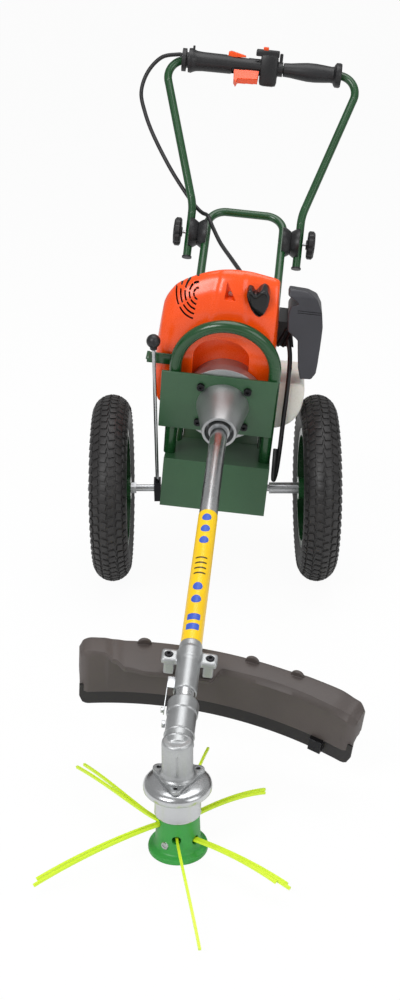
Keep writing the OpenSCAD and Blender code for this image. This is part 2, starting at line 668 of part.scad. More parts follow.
module case_screws() color("#77797b") on_line() for (i = [0 : 2]) rotate(90 + i * 120)
  translate([flange_d * pad_share, 0, flange_z]) {
    cylinder(d = bolt_d, h = flange_t + cast_t + bolt_d / 2);
    translate([0, 0, flange_t + cast_t]) difference() {
      cylinder(d = 2 * bolt_d, h = bolt_d);
      translate([0, 0, bolt_d / 2]) hex(bolt_d, bolt_d);
    }
  }

// line head: silver ring and green hub on the output arbor, six line holes
line_angles = [32.75, 76, 138, 206.75, 278, 321.8];
hole_share = 0.56;
hole_in_share = 0.3;
flare_share = 1.06;
hole_z = head_top * hole_share;
module head_ring() color("#c9cbcc") translate([0, 0, head_top]) difference() {
  union() {
    cylinder(d = ring_d, h = (ring_top - head_top) * 2 / 3);
    translate([0, 0, (ring_top - head_top) * 2 / 3])
      cylinder(d1 = ring_d, d2 = head_d, h = (ring_top - head_top) / 3);
  }
  translate([0, 0, -cut]) cylinder(d = drive_d, h = ring_top);
}
module line_head() color("#2c8a3a") difference() {
  union() {
    cylinder(d = foot_d, h = foot_h / 2);
    translate([0, 0, foot_h / 2]) cylinder(d1 = foot_d, d2 = foot_d - foot_h / 2, h = foot_h / 4);
    translate([0, 0, foot_h * 3 / 4])
      cylinder(d1 = foot_d - foot_h / 2, d2 = head_d * flare_share, h = foot_h / 4);
    translate([0, 0, foot_h]) cylinder(d1 = head_d * flare_share, d2 = head_d, h = head_top - foot_h);
  }
  translate([0, 0, foot_h]) cylinder(d = drive_d, h = head_top);
  for (a = line_angles) rotate(a) translate([head_d * hole_in_share, 0, hole_z]) along_x()
    cylinder(d = hole_d, h = head_d);
}
// stiff nylon strands: plan angle, then shares for tip radius, tip height and sideways place
strand_shares = [[31, 0.66, 0.95, -0.45], [34.5, 0.69, 0.9, 0.45], [76, 0.81, 1.2, 0],
  [136.2, 0.89, 1.1, -0.45],
  [139.8, 0.9, 1.15, 0.45], [205, 0.94, 0.4, -0.45], [208.5, 0.98, 0.45, 0.45], [278, 1, 0.3, 0],
  [319.5, 0.78, 0.75, -0.85], [321.8, 0.86, 0.6, 0], [324.1, 0.82, 0.55, 0.85]];
strand_sag_share = 0.05;
module strand(a, side, p, q) {
  c = norm(q - p);
  u = (q - p) / c;
  n = [-u.y, u.x];
  b = c * strand_sag_share;
  r = (c * c / 4 + b * b) / (2 * b);
  h = asin(c / 2 / r);
  m = (p + q) / 2 - n * (r - b);
  rotate(a) translate([0, side, 0]) rotate([90, 0, 0]) translate([m.x, m.y, 0]) rotate(atan2(n.y, n.x) - h)
    rotate_extrude(angle = 2 * h) translate([r, 0]) circle(d = line_d, $fn = 16);
}
module trimmer_lines() color("#d2f02a") for (s = strand_shares)
  strand(s[0], line_d * s[3], [head_d * hole_in_share + line_d / 4, hole_z], [line_reach * s[1],
    hole_z * s[2]]);

// guard: arched shell with a rubber skirt, carried by a clamp on the tube
module on_guard() on_shaft() rotate([0, guard_roll, 0]) children();
module guard_band(r0, r1, z0, z1, a0, a1) rotate(a0) rotate_extrude(angle = a1 - a0, $fn = 96)
  translate([r0, z0]) square([r1 - r0, z1 - z0]);
pad_half = clamp_w / 2 + bolt_head + guard_t;
pad_in = 2 * bolt_head;
pad_right = asin((guard_side + pad_half) / guard_r);
pad_left = asin((pad_half - guard_side) / guard_r);
guard_span = guard_left + guard_right;
tab_shares = [0.28, 0.43, 0.79];
cheek_share = 0.05;
cheek_drop_share = 0.6;
module on_arc() on_guard() translate([-guard_side, guard_at - guard_r, 0]) children();
module guard_cheek(a) guard_band(guard_r + guard_t / 2, guard_r + guard_flange - guard_t / 2,
  -guard_low - guard_h * cheek_drop_share, 2 * guard_t - guard_low, a, a + guard_span * cheek_share);
module guard_shell() color("#55504c") on_arc() difference() {
  union() {
    rotate(90 - guard_right) rotate_extrude(angle = guard_span, $fn = 96) polygon([
      [guard_r - pad_in, -guard_low], [guard_r + guard_flange, -guard_low],
      [guard_r + guard_flange, -guard_low - guard_t], [guard_r + guard_t, -guard_low - guard_t],
      [guard_r + guard_t, -guard_low - guard_h], [guard_r, -guard_low - guard_h],
      [guard_r, -guard_low - guard_t], [guard_r - pad_in, -guard_low - guard_t]]);
    for (f = tab_shares) rotate(90 - guard_right + guard_span * f)
      translate([guard_r + guard_flange - 2 * guard_t, 0, -guard_low]) along_x()
        cylinder(d = 6 * guard_t, h = guard_t);
    guard_cheek(90 - guard_right + guard_span * cheek_share / 4);
    guard_cheek(90 + guard_left - guard_span * cheek_share * 5 / 4);
  }
  guard_band(guard_r - 2 * pad_in, guard_r - 2 * guard_t, -guard_low - guard_t - cut, cut - guard_low,
    90 - guard_span, 90 - pad_right);
  guard_band(guard_r - 2 * pad_in, guard_r - 2 * guard_t, -guard_low - guard_t - cut, cut - guard_low,
    90 + pad_left, 90 + guard_span);
}
skirt_lap_share = 0.3;
module guard_skirt() color("#19191a") on_arc() guard_band(guard_r + guard_t, guard_r + 2 * guard_t,
  -guard_low - guard_h - skirt_h, -guard_low - guard_h * (1 - skirt_lap_share), 90 - guard_right,
    90 + guard_left);
cutter_share = 0.16;
module line_cutter() color("#2a2a2c") on_arc() rotate(90 - guard_right + guard_span * cutter_share)
  translate([guard_r + guard_t - clear, 0, -guard_low - guard_h - clear])
    block([-3 * guard_t, -3 * guard_t, -skirt_h - guard_t], [0, 3 * guard_t, 0]);
module guard_clamp() color("#aeb1b3") on_guard() translate([0, clamp_at, 0]) difference() {
  union() {
    rotate([90, 0, 0]) cylinder(d = tube_d * collar_share, h = 2 * bolt_head, center = true);
    block([-clamp_w / 2 - bolt_head / 2, -bolt_head, -bolt_d],
      [clamp_w / 2 + bolt_head / 2, bolt_head, bolt_d]);
    block([-tube_d / 2, -bolt_head, -guard_low], [tube_d / 2, bolt_head, 0]);
    block([-clamp_w / 2 - bolt_head / 2, -bolt_head, -guard_low],
      [clamp_w / 2 + bolt_head / 2, bolt_head, -guard_low + guard_t]);
  }
  rotate([90, 0, 0]) cylinder(d = tube_d, h = 4 * bolt_head, center = true);
  for (s = [-1, 1]) translate([s * clamp_w / 2, 0, -guard_low - cut])
    cylinder(d = bolt_d, h = 2 * guard_low);
}
module guard_bolts() color("#38393b") on_guard() for (s = [-1, 1])
  translate([s * clamp_w / 2, clamp_at, 0]) {
  translate([0, 0, -guard_low]) cylinder(d = bolt_d, h = guard_low + 2 * bolt_d);
  translate([0, 0, bolt_d]) difference() {
    cylinder(d = bolt_head, h = bolt_d);
    translate([0, 0, bolt_d / 2]) hex(bolt_d, bolt_d);
  }
}

// engine: crankcase on the plate, finned cylinder, vented cover, starter, tank, filter
rim_h_share = 0.12;
case_len_share = 0.9;
case_len = case_rim_d * case_len_share;
module crankcase() color("#b2b5b6") on_engine() translate([0, plate_t, 0]) along_y() difference() {
  union() {
    cylinder(d = case_rim_d, h = case_rim_d * rim_h_share);
    cylinder(d = case_rim_d * (1 - rim_h_share), h = case_len);
  }
  translate([0, 0, -cut]) cylinder(d = drum_d, h = case_rim_d * rim_h_share);
  for (i = [-1, 1], j = [-1, 1]) translate([i * bolt_x, j * bolt_z, -cut])
    cylinder(d = bolt_d, h = 2 * bolt_d + cut);
}
jug_at_share = 0.53;
jug_y = cover_back + cover_d * jug_at_share;
jug_len_share = 0.46;
fins = 6;
jug_core_share = 0.8;
module cylinder_jug() difference() {
  union() {
    cylinder(d = jug_d * jug_core_share, h = cover_h * jug_len_share);
    for (i = [1 : fins]) translate([0, 0, cover_h * jug_len_share * i / (fins + 1)])
      cylinder(d = jug_d, h = cover_t);
  }
  translate([0, 0, -case_rim_d / 2]) rotate([90, 0, 0])
    cylinder(d = case_rim_d * (1 - rim_h_share), h = 2 * case_rim_d, center = true);
}
module engine_cylinder() color("#a9acad") on_engine() translate([0, jug_y, case_rim_d / 2]) cylinder_jug();
front_shares = [[-0.57, 0], [-0.62, 0.25], [-0.605, 0.5], [-0.58, 0.7], [-0.505, 0.827], [-0.435, 0.88],
  [-0.31, 0.935], [-0.18, 0.98], [-0.06, 1], [0.13, 1], [0.25, 0.975], [0.365, 0.955], [0.378, 0.73],
  [0.393, 0.4], [0.393, 0.1], [0.33, 0]];
side_shares = [[0, 0], [0, 0.42], [0.06, 0.6], [0.2, 0.88], [0.3, 0.96], [0.42, 1], [0.58, 0.98],
  [0.8, 0.86],
  [1, 0.62], [1, 0.1], [0.94, 0]];
front_mid_share = -0.11;
module cover_form(t, drop) intersection() {
  translate([cover_w * front_mid_share, cover_back + cover_d, -drop]) rotate([90, 0, 0])
    linear_extrude(height = cover_d) polygon([for (s = front_shares)
      [(s.x - front_mid_share) * (cover_w - 2 * t), s.y * (cover_h - t + drop)]]);
  translate([-cover_w, cover_back + t, -drop]) rotate([90, 0, 90]) linear_extrude(height = 2 * cover_w)
    polygon([for (s = side_shares) [s.x * (cover_d - 2 * t), s.y * (cover_h - t + drop)]]);
}
vent_shares = [0.06, 0.1, 0.14, 0.18, 0.22];
vent_x_share = -0.14;
vent_z_share = 0.9;
boot_x_share = 0.2;
boot_z_share = 0.88;
module engine_cover() color("#f2581c") on_engine() difference() {
  cover_form(0, 0);
  cover_form(cover_t, cut);
  translate([cover_w * vent_x_share, cover_back + cover_d / 2, cover_h * vent_z_share]) rotate([90, 0, 0])
    for (v = vent_shares) rotate(125) rotate_extrude(angle = 110)
      translate([cover_w * v, 0]) square([cover_t, cover_d / 2]);
  translate([cover_w * boot_x_share, cover_back, cover_h * boot_z_share]) along_y()
    cylinder(d = boot_d + 2 * cover_t, h = cover_d * boot_len_share);
  translate([0, jug_y, intake_up]) along_x() cylinder(d = boot_d, h = cover_w);
  translate([0, cover_back - cut, 0]) along_y()
    cylinder(d = case_rim_d * (1 - rim_h_share) + 2 * clear, h = 2 * cover_d);
}
boot_share = 0.36;
boot_len_share = 0.4;
boot_y_share = 0.1;
boot_ball_share = 1.05;
boot_ball_at_share = 0.2;
boot_d = jug_d * boot_share;
intake_share = 0.5;
intake_up = cover_h * intake_share;
module plug_boot() color("#141416") on_engine()
  translate([cover_w * boot_x_share, cover_back + cover_d * boot_y_share,
    cover_h * boot_z_share]) along_y() {
    cylinder(d = boot_d, h = cover_d * boot_len_share);
    translate([0, 0, boot_d * boot_ball_at_share]) sphere(d = boot_d * boot_ball_share);
  }
pulley_share = 0.84;
pulley_top_share = 0.7;
starter_at_share = 0.2;
starter_out_share = 1.4;
starter_turn = 60;
pulley_h = case_len / 4;
pulley_cap_h = case_len / 6;
module starter_housing() color("#252527") on_engine() translate([0, plate_t + case_len, 0]) along_y() {
  cylinder(d = case_rim_d * pulley_share, h = pulley_h);
  translate([0, 0, pulley_h])
    cylinder(d1 = case_rim_d * pulley_share, d2 = case_rim_d * pulley_top_share, h = pulley_cap_h);
}
module starter_grip() color("#1b1b1d") on_engine()
  translate([-case_rim_d * starter_at_share, plate_t + case_len + pulley_h + pulley_cap_h,
    -case_rim_d * starter_at_share]) {
    along_y() cylinder(d = bolt_head, h = bolt_head);
    translate([0, bolt_head * starter_out_share, 0]) rotate([0, starter_turn, 0])
      cylinder(d = bolt_head, h = 4 * bolt_head, center = true);
  }
module slab_face(w, h, r) union() {
  translate([r, 0]) square([w - 2 * r, h]);
  translate([0, r]) square([w, h - 2 * r]);
  for (x = [r, w - r], y = [r, h - r]) translate([x, y]) circle(r = r);
}
tank_in_share = 0.273;
tank_ahead_share = 0.3;
tank_drop_share = 0.41;
tank_x = plate_w / 2 - tank_w * tank_in_share;
tank_y = -crank_ahead * tank_ahead_share;
tank_z = crank_above - tank_h * tank_drop_share;
tank_round_share = 0.98;
tank_edge_share = 0.2;
notch_x_share = 0.08;
module tank_face(w, h, r, big) linear_extrude(height = tank_d) difference() {
  slab_face(w, h, r);
  difference() {
    translate([w - big, -cut]) square([big + cut, big + cut]);
    translate([w - big, big]) circle(r = big);
  }
}
module fuel_tank() color("#e9e5db") on_chassis() difference() {
  translate([tank_x, tank_y, tank_z]) intersection() {
    translate([0, tank_d, 0]) rotate([90, 0, 0])
      tank_face(tank_w, tank_h, tank_w * tank_edge_share, tank_w * tank_round_share);
    linear_extrude(height = tank_h) slab_face(tank_w, tank_d, tank_w / 4);
  }
  block([plate_w / 2 * filter_x_share + filter_h * notch_x_share, -2 * tank_d,
    crank_above * filter_z_share - clear],
    [2 * plate_w, 2 * tank_d, 2 * crank_above]);
}
cap_h_share = 0.4;
cap_rim_share = 0.1;
cap_flutes = 8;
module fuel_cap() color("#1b1b1d") on_chassis()
  translate([tank_x + tank_w / 2, tank_y + tank_d + clear, tank_z + tank_h / 2]) along_y() difference() {
    cylinder(d = cap_d, h = cap_d * cap_h_share);
    for (i = [0 : cap_flutes - 1]) rotate(i * 360 / cap_flutes)
      translate([cap_d / 2, 0, cap_d * cap_rim_share]) cylinder(d = cap_d / cap_flutes, h = cap_d);
  }
filter_shares = [[0, 1], [0.28, 0.92], [0.35, 0.85], [0.41, 0.67], [0.42, 0.07], [0.4, 0.02], [0.23, 0],
  [0.2, 0.1],
  [0.17, 0.18], [0.03, 0.72], [0.05, 0.8], [0.13, 0.815], [0.01, 0.9]];
filter_x_share = 0.9;
filter_y_share = 0.75;
filter_z_share = 1.29;
intake_len_share = 0.7;
module filter_form() on_chassis()
  translate([plate_w / 2 * filter_x_share, filter_d - crank_ahead * filter_y_share,
    crank_above * filter_z_share])
    rotate([90, 0, 0]) linear_extrude(height = filter_d) polygon([for (s = filter_shares) s * filter_h]);
module filter_cover() color("#3f3f44") difference() {
  filter_form();
  on_engine() translate([0, jug_y, intake_up]) along_x()
    cylinder(d = boot_d, h = plate_w * intake_len_share);
}
carb_share = 0.24;
carb_half = cover_w * carb_share / 2;
carb_x_share = 0.393;
carb_x = cover_w * carb_x_share + clear;
carb_len_share = 0.8;
carb_len = 2 * carb_half * carb_len_share;
rod_tilt = 20;
module carburettor() color("#2a2a2c") {
  difference() {
    on_engine() {
      translate([carb_x, jug_y - carb_half, intake_up - carb_half])
        cube([carb_len, 2 * carb_half, 2 * carb_half]);
      for (k = [1, 4]) translate([carb_x + k * bolt_d / 2, jug_y - carb_half, intake_up - carb_half])
        rotate([0, rod_tilt, 0]) cylinder(d = bolt_d, h = carb_len);
    }
    filter_form();
  }
  on_engine() translate([jug_d / 2 + clear, jug_y, intake_up]) along_x()
    cylinder(d = boot_d - 2 * clear, h = carb_x - jug_d / 2);
}
muffler_x_shares = [-0.5, -0.27];
muffler_z_shares = [0.42, 0.76];
port_x_share = 0.3;
module muffler() color("#4a4b4d") on_engine() {
  block([cover_w * muffler_x_shares[0], jug_y - carb_half, cover_h * muffler_z_shares[0]],
    [cover_w * muffler_x_shares[1], jug_y + 2 * carb_half, cover_h * muffler_z_shares[1]]);
  translate([-cover_w * port_x_share, jug_y, intake_up]) along_x()
    cylinder(d = boot_d, h = cover_w * port_x_share - jug_d / 2 - clear);
}

// throttle handle on the left of the top bar, plain grip on the right
throttle_start = throttle_end - throttle_len;
throttle_shares = [0, 0.08, 0.40, 0.725, 0.95, 1];
function throttle_x(i) = throttle_start + throttle_len * throttle_shares[i];
slim_share = 0.76;
block_share = 1.3;
switch_half = barrel_d * block_share / 2;
pin_share = 0.33;
trigger_pin = trigger_t * pin_share;
trigger_at_share = 0.9;
trigger_z_share = 0.58;
lock_z_share = 0.54;
rim_share = 1.1;
trigger_x = throttle_x(3) - trigger_t * trigger_at_share;
trigger_z = -barrel_d * trigger_z_share;
lock_at_share = 1.7;
lock_x = throttle_x(2) + trigger_t * lock_at_share;
lock_z = barrel_d * lock_z_share;
trigger_tilt = 45;
module along_bar(i, j, d) translate([throttle_x(i), 0, 0]) along_x()
  cylinder(d = d, h = throttle_x(j) - throttle_x(i));
module ears(x, z, s) for (m = [0, 1]) mirror([0, m, 0])
  block([x - trigger_t / 2, trigger_t / 2 + clear, min(z - s * trigger_pin, 0)],
    [x + trigger_t / 2, trigger_t / 2 + clear + trigger_pin, max(z - s * trigger_pin, 0)]);
module throttle_body() color("#1b1b1d") on_grip() difference() {
  union() {
    along_bar(0, 1, barrel_d * rim_share);
    along_bar(1, 2, barrel_d);
    along_bar(2, 3, barrel_d * slim_share);
    along_bar(4, 5, barrel_d * rim_share);
    block([throttle_x(3), -switch_half, -switch_half], [throttle_x(4), switch_half, switch_half]);
    rotate([-trigger_tilt, 0, 0]) ears(trigger_x, trigger_z, 1);
    ears(lock_x, lock_z, -1);
  }
  translate([throttle_x(0) - cut, 0, 0]) along_x()
    cylinder(d = bar_d * swage_share + clear, h = throttle_len + 2 * cut);
  rotate([-trigger_tilt, 0, 0]) translate([trigger_x, -2 * trigger_t, trigger_z]) along_y()
    cylinder(d = trigger_pin + 2 * run_gap, h = 4 * trigger_t);
  translate([lock_x, -2 * trigger_t, lock_z]) along_y()
    cylinder(d = trigger_pin + 2 * run_gap, h = 4 * trigger_t);
  block([throttle_x(3) + trigger_t / 2, -trigger_t / 2 - clear, switch_half - trigger_pin],
    [throttle_x(4) - trigger_t / 2, trigger_t / 2 + clear, switch_half + cut]);
}
trigger_shares = [[0.5, 0.35], [-0.4, 0.4], [-3.8, -0.2], [-4, -0.9], [-3, -1.7], [-1.2, -2], [0.4, -0.9]];
module trigger() color("#f05a1e") on_grip() rotate([-trigger_tilt, 0, 0])
  translate([trigger_x, 0, trigger_z]) {
    rotate([90, 0, 0]) linear_extrude(height = trigger_t, center = true)
      polygon([for (s = trigger_shares) s * trigger_t]);
    along_y() cylinder(d = trigger_pin, h = trigger_t + 2 * clear + 2 * trigger_pin, center = true);
  }
lock_shares = [[-0.5, -0.15], [-0.45, 0.4], [0.4, 0.9], [2.3, 0.75], [2.5, 0.25], [0.4, -0.1]];
module lockout() color("#f05a1e") on_grip() translate([lock_x, 0, lock_z]) {
  rotate([90, 0, 0]) linear_extrude(height = trigger_t, center = true)
    polygon([for (s = lock_shares) s * trigger_t]);
  along_y() cylinder(d = trigger_pin, h = trigger_t + 2 * clear + 2 * trigger_pin, center = true);
}
module stop_switch() color("#c8281e") on_grip()
  translate([(throttle_x(3) + throttle_x(4)) / 2, 0, switch_half - trigger_pin + clear]) {
    block([-trigger_t / 2, -trigger_t / 2, 0], [trigger_t / 2, trigger_t / 2, 2 * trigger_pin]);
  }
end_rim_share = 0.06;
module grip_right() color("#1b1b1d") on_grip()
  translate([throttle_end + clear, 0, 0]) along_x() difference() {
  union() {
    cylinder(d = barrel_d, h = grip_len);
    translate([0, 0, grip_len * (1 - end_rim_share)])
      cylinder(d = barrel_d * block_share, h = grip_len * end_rim_share);
  }
  translate([0, 0, -cut]) cylinder(d = bar_d, h = grip_len + 2 * cut);
}

// throttle cable: handle to engine past the folding hinge, and the slack loop beside the tank
upper_route = [[-156, 586, 663], [-188, 578, 668], [-222, 572, 662], [-243, 560, 630], [-240, 540, 585],
  [-215, 518, 535], [-180, 495, 485], [-148, 470, 445], [-118, 440, 418], [-88, 405, 395], [-60, 350, 385],
  [-30, 250, 395], [-7, 175, 370], [20, 160, 330]];
lower_route = [[97, -24, 290], [103, -31, 262], [105, -32, 220], [105, -32, 150], [105, -34, 100],
  [104, -36, 62],
  [101, -44, 46], [99, -52, 56], [98, -50, 80], [97.5, -38, 100]];
route_share = 1 / 16;
module cable_upper() color("#151516") on_chassis() cord(upper_route * bar_d * route_share, 5, cable_d, 8);
module cable_lower() color("#151516") on_chassis() cord(lower_route * bar_d * route_share, 5, cable_d, 8);

base_box();
tray_panel();
hoop_tube();
engine_plate();
plate_bolts();
lever_gate();
pivot_lugs();
rear_frame();
frame_discs();
clutch_housing();
drive_tube();
yellow_band();
gear_case();
case_screws();
gear_bearings();
guard_shell();
guard_skirt();
line_cutter();
guard_clamp();
guard_bolts();
crankcase();
engine_cylinder();
engine_cover();
plug_boot();
starter_housing();
starter_grip();
fuel_tank();
carburettor();
filter_cover();
muffler();
cable_lower();
fuel_cap();
pivot_block();
axle();
axle_nuts();
axle_sleeve();
lever_foot();
lean_lever();
ball_knob();
tyre_left();
rim_left();
tyre_right();
rim_right();
handlebar();
handle_discs();
tube_caps();
hinge_knob_left();
hinge_knob_right();
throttle_body();
grip_right();
trigger();
lockout();
stop_switch();
cable_upper();
drive_shaft();
bevel_pinion();
bevel_wheel();
head_ring();
line_head();
trimmer_lines();
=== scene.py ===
import math

import bmesh
import bpy
from mathutils import Matrix, Vector


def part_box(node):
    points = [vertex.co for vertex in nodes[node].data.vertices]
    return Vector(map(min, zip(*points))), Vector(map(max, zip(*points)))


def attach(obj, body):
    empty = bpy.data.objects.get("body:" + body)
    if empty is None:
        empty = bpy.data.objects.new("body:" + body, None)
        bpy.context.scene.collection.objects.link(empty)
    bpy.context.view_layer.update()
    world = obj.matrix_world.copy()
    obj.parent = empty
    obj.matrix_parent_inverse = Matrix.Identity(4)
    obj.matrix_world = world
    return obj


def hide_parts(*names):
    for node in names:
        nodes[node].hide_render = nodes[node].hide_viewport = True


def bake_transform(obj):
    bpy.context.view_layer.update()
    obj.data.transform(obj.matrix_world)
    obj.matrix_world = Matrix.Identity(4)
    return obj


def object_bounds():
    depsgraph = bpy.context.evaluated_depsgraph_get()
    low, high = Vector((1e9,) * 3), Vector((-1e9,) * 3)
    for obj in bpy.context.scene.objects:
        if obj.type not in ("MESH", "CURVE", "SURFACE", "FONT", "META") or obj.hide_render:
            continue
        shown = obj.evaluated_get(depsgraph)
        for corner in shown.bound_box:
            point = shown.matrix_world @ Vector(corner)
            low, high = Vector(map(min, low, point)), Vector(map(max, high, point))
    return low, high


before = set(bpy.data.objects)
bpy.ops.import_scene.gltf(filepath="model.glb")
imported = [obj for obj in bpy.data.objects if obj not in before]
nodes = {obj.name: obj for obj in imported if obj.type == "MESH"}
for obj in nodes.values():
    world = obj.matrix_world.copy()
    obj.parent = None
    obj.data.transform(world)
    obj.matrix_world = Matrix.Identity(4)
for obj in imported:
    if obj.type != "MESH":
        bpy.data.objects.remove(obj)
cad_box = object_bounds()

# Studio: a pale seamless floor, a large soft key light from the left, a weaker one from the right
# and a wide one overhead. The camera stands in front of the line head at a person's chest height.
image_height_px = 1000
focal_px = 1300
camera_place = (0.0277, -1.3419, 1.050)
camera_pitch = 23.1
sensor_mm = 24.0
lens = bpy.data.cameras.new("photo_camera")
lens.sensor_fit = "VERTICAL"
lens.sensor_height = sensor_mm
lens.lens = sensor_mm * focal_px / image_height_px
camera = bpy.data.objects.new("photo_camera", lens)
camera.location = camera_place
camera.rotation_euler = (math.radians(90 - camera_pitch), 0, 0)
bpy.context.scene.collection.objects.link(camera)
bpy.context.scene.camera = camera
bpy.context.scene.view_settings.view_transform = "Standard"


def linear(colour):
    """An sRGB hex colour as linear red, green, blue and alpha."""
    parts = [int(colour[i : i + 2], 16) / 255 for i in (1, 3, 5)]
    return [c / 12.92 if c <= 0.04045 else ((c + 0.055) / 1.055) ** 2.4 for c in parts] + [1.0]


def add(tree, kind, sockets=None, **settings):
    """A new node with its settings; a socket's value is a number, a colour or another node's output."""
    node = tree.nodes.new(kind)
    for name, value in settings.items():
        setattr(node, name, value)
    for name, value in (sockets or {}).items():
        if isinstance(value, bpy.types.NodeSocket):
            tree.links.new(value, node.inputs[name])
        else:
            node.inputs[name].default_value = value
    return node


def seen_white(tree):
    """1 for what is seen directly or through a clear part, 0 for the light that falls on things."""
    path = add(tree, "ShaderNodeLightPath")
    return add(tree, "ShaderNodeMath", {0: path.outputs["Is Camera Ray"], 1: path.outputs["Is Transmission Ray"]},
               operation="MAXIMUM").outputs[0]


world = bpy.data.worlds.new("studio_air")
world.use_nodes = True
world.node_tree.nodes.clear()
ambient = 0.42
air = add(world.node_tree, "ShaderNodeMapRange",
          {"Value": seen_white(world.node_tree), "To Min": ambient, "To Max": 1.0})
sky = add(world.node_tree, "ShaderNodeBackground", {"Color": linear("#ffffff"), "Strength": air.outputs[0]})
add(world.node_tree, "ShaderNodeOutputWorld", {"Surface": sky.outputs[0]})
bpy.context.scene.world = world

lamp_aim = Vector((0.05, 0.55, 0.3))
for lamp_name, place, watts, width in (("key_light", (-1.7, -1.9, 2.6), 62, 1.6),
                                       ("fill_light", (2.2, -1.5, 1.7), 22, 1.8),
                                       ("top_light", (0.3, 0.9, 3.0), 40, 2.2)):
    lamp_data = bpy.data.lights.new(lamp_name, "AREA")
    lamp_data.energy = watts
    lamp_data.size = width
    lamp = bpy.data.objects.new(lamp_name, lamp_data)
    lamp.location = place
    lamp.rotation_euler = (lamp_aim - Vector(place)).to_track_quat("-Z", "Y").to_euler()
    bpy.context.scene.collection.objects.link(lamp)

floor_half, floor_glow = 60.0, 0.95
floor_corners = [(x * floor_half, y * floor_half, cad_box[0][2]) for x, y in ((-1, -1), (1, -1), (1, 1), (-1, 1))]
floor_mesh = bpy.data.meshes.new("studio_floor")
floor_mesh.from_pydata(floor_corners, [], [(0, 1, 2, 3)])
floor = bpy.data.objects.new("studio_floor", floor_mesh)
bpy.context.scene.collection.objects.link(floor)
floor_paint = bpy.data.materials.new("pale_studio_paper")
floor_paint.use_nodes = True
paper = floor_paint.node_tree
paper.nodes.clear()
matt = add(paper, "ShaderNodeBsdfDiffuse", {"Color": linear("#f4f4f4")})
glow = add(paper, "ShaderNodeEmission", {"Color": linear("#ffffff"), "Strength": 1.0})
share = add(paper, "ShaderNodeMapRange", {"Value": seen_white(paper), "To Min": 0.0, "To Max": floor_glow})
blend_paper = add(paper, "ShaderNodeMixShader", {0: share.outputs[0], 1: matt.outputs[0], 2: glow.outputs[0]})
add(paper, "ShaderNodeOutputMaterial", {"Surface": blend_paper.outputs[0]})
floor_mesh.materials.append(floor_paint)

# Chassis: a folded sheet box and bent tubes, welded and sprayed with green enamel. The enamel is even and
# glossy with a faint orange peel, duller on the flat plates than on the tubes, and rubbed thin along the edges.
grain_low, grain_high = 0.7, 1.3
cloud_scale = 12.0


def surface(name, hues, grain_mm, rough, peel_mm, metallic=0.0, edge_mm=0.8, worn=None, **sockets):
    """A shader whose colour and roughness wander with a grain, with softened edges and a fine bump."""
    made = bpy.data.materials.new(name)
    made.use_nodes = True
    tree = made.node_tree
    shader = tree.nodes["Principled BSDF"]
    place = add(tree, "ShaderNodeTexCoord").outputs["Object"]
    grain = add(tree, "ShaderNodeTexNoise", {"Vector": place, "Scale": 1000 / grain_mm, "Detail": 5.0})
    cloud = add(tree, "ShaderNodeTexNoise", {"Vector": place, "Scale": cloud_scale, "Detail": 3.0})
    mixed = add(tree, "ShaderNodeMath", {0: grain.outputs["Fac"], 1: cloud.outputs["Fac"]}, operation="ADD")
    spread = {"Value": mixed.outputs[0], "From Min": grain_low, "From Max": grain_high}
    hue = add(tree, "ShaderNodeValToRGB", {"Fac": add(tree, "ShaderNodeMapRange", spread).outputs[0]})
    hue.color_ramp.elements[0].color = linear(hues[0])
    hue.color_ramp.elements[1].color = linear(hues[1])
    round_edge = add(tree, "ShaderNodeBevel", {"Radius": edge_mm / 1000}, samples=4)
    colour = hue.outputs["Color"]
    if worn:
        flat = add(tree, "ShaderNodeNewGeometry")
        align = add(tree, "ShaderNodeVectorMath", {0: flat.outputs["Normal"], 1: round_edge.outputs[0]},
                    operation="DOT_PRODUCT")
        rub = add(tree, "ShaderNodeMapRange", {"Value": align.outputs["Value"], "From Min": 0.97,
                                               "From Max": 0.75, "To Max": 0.55})
        colour = add(tree, "ShaderNodeMix", {0: rub.outputs[0], 6: colour, 7: linear(worn)},
                     data_type="RGBA").outputs[2]
    tree.links.new(colour, shader.inputs["Base Color"])
    gloss = add(tree, "ShaderNodeMapRange", {**spread, "To Min": rough[0], "To Max": rough[1]})
    tree.links.new(gloss.outputs[0], shader.inputs["Roughness"])
    bump = add(tree, "ShaderNodeBump", {"Height": grain.outputs["Fac"], "Normal": round_edge.outputs[0],
                                        "Strength": 0.5, "Distance": peel_mm / 1000})
    tree.links.new(bump.outputs[0], shader.inputs["Normal"])
    shader.inputs["Metallic"].default_value = metallic
    for socket, value in sockets.items():
        shader.inputs[socket.replace("_", " ")].default_value = value
    return made


def coat(finish, *names):
    """The finish goes on these solids of the frame."""
    for name in names:
        nodes[name].data.materials.clear()
        nodes[name].data.materials.append(finish)


tube_enamel = surface("green_enamel_on_tube", ("#133f1d", "#1a4c26"), 1.6, (0.2, 0.3), 0.03, worn="#3f6b46",
                      Coat_Weight=0.25, Coat_Roughness=0.12)
plate_enamel = surface("green_enamel_on_sheet", ("#2a4f33", "#325a3a"), 1.6, (0.34, 0.46), 0.04, edge_mm=1.2,
                       worn="#56775a", Coat_Weight=0.2, Coat_Roughness=0.25)
coat(plate_enamel, "base_box", "pivot_lugs", "tray_panel")
coat(tube_enamel, "rear_frame", "handlebar", "rim_left", "rim_right")

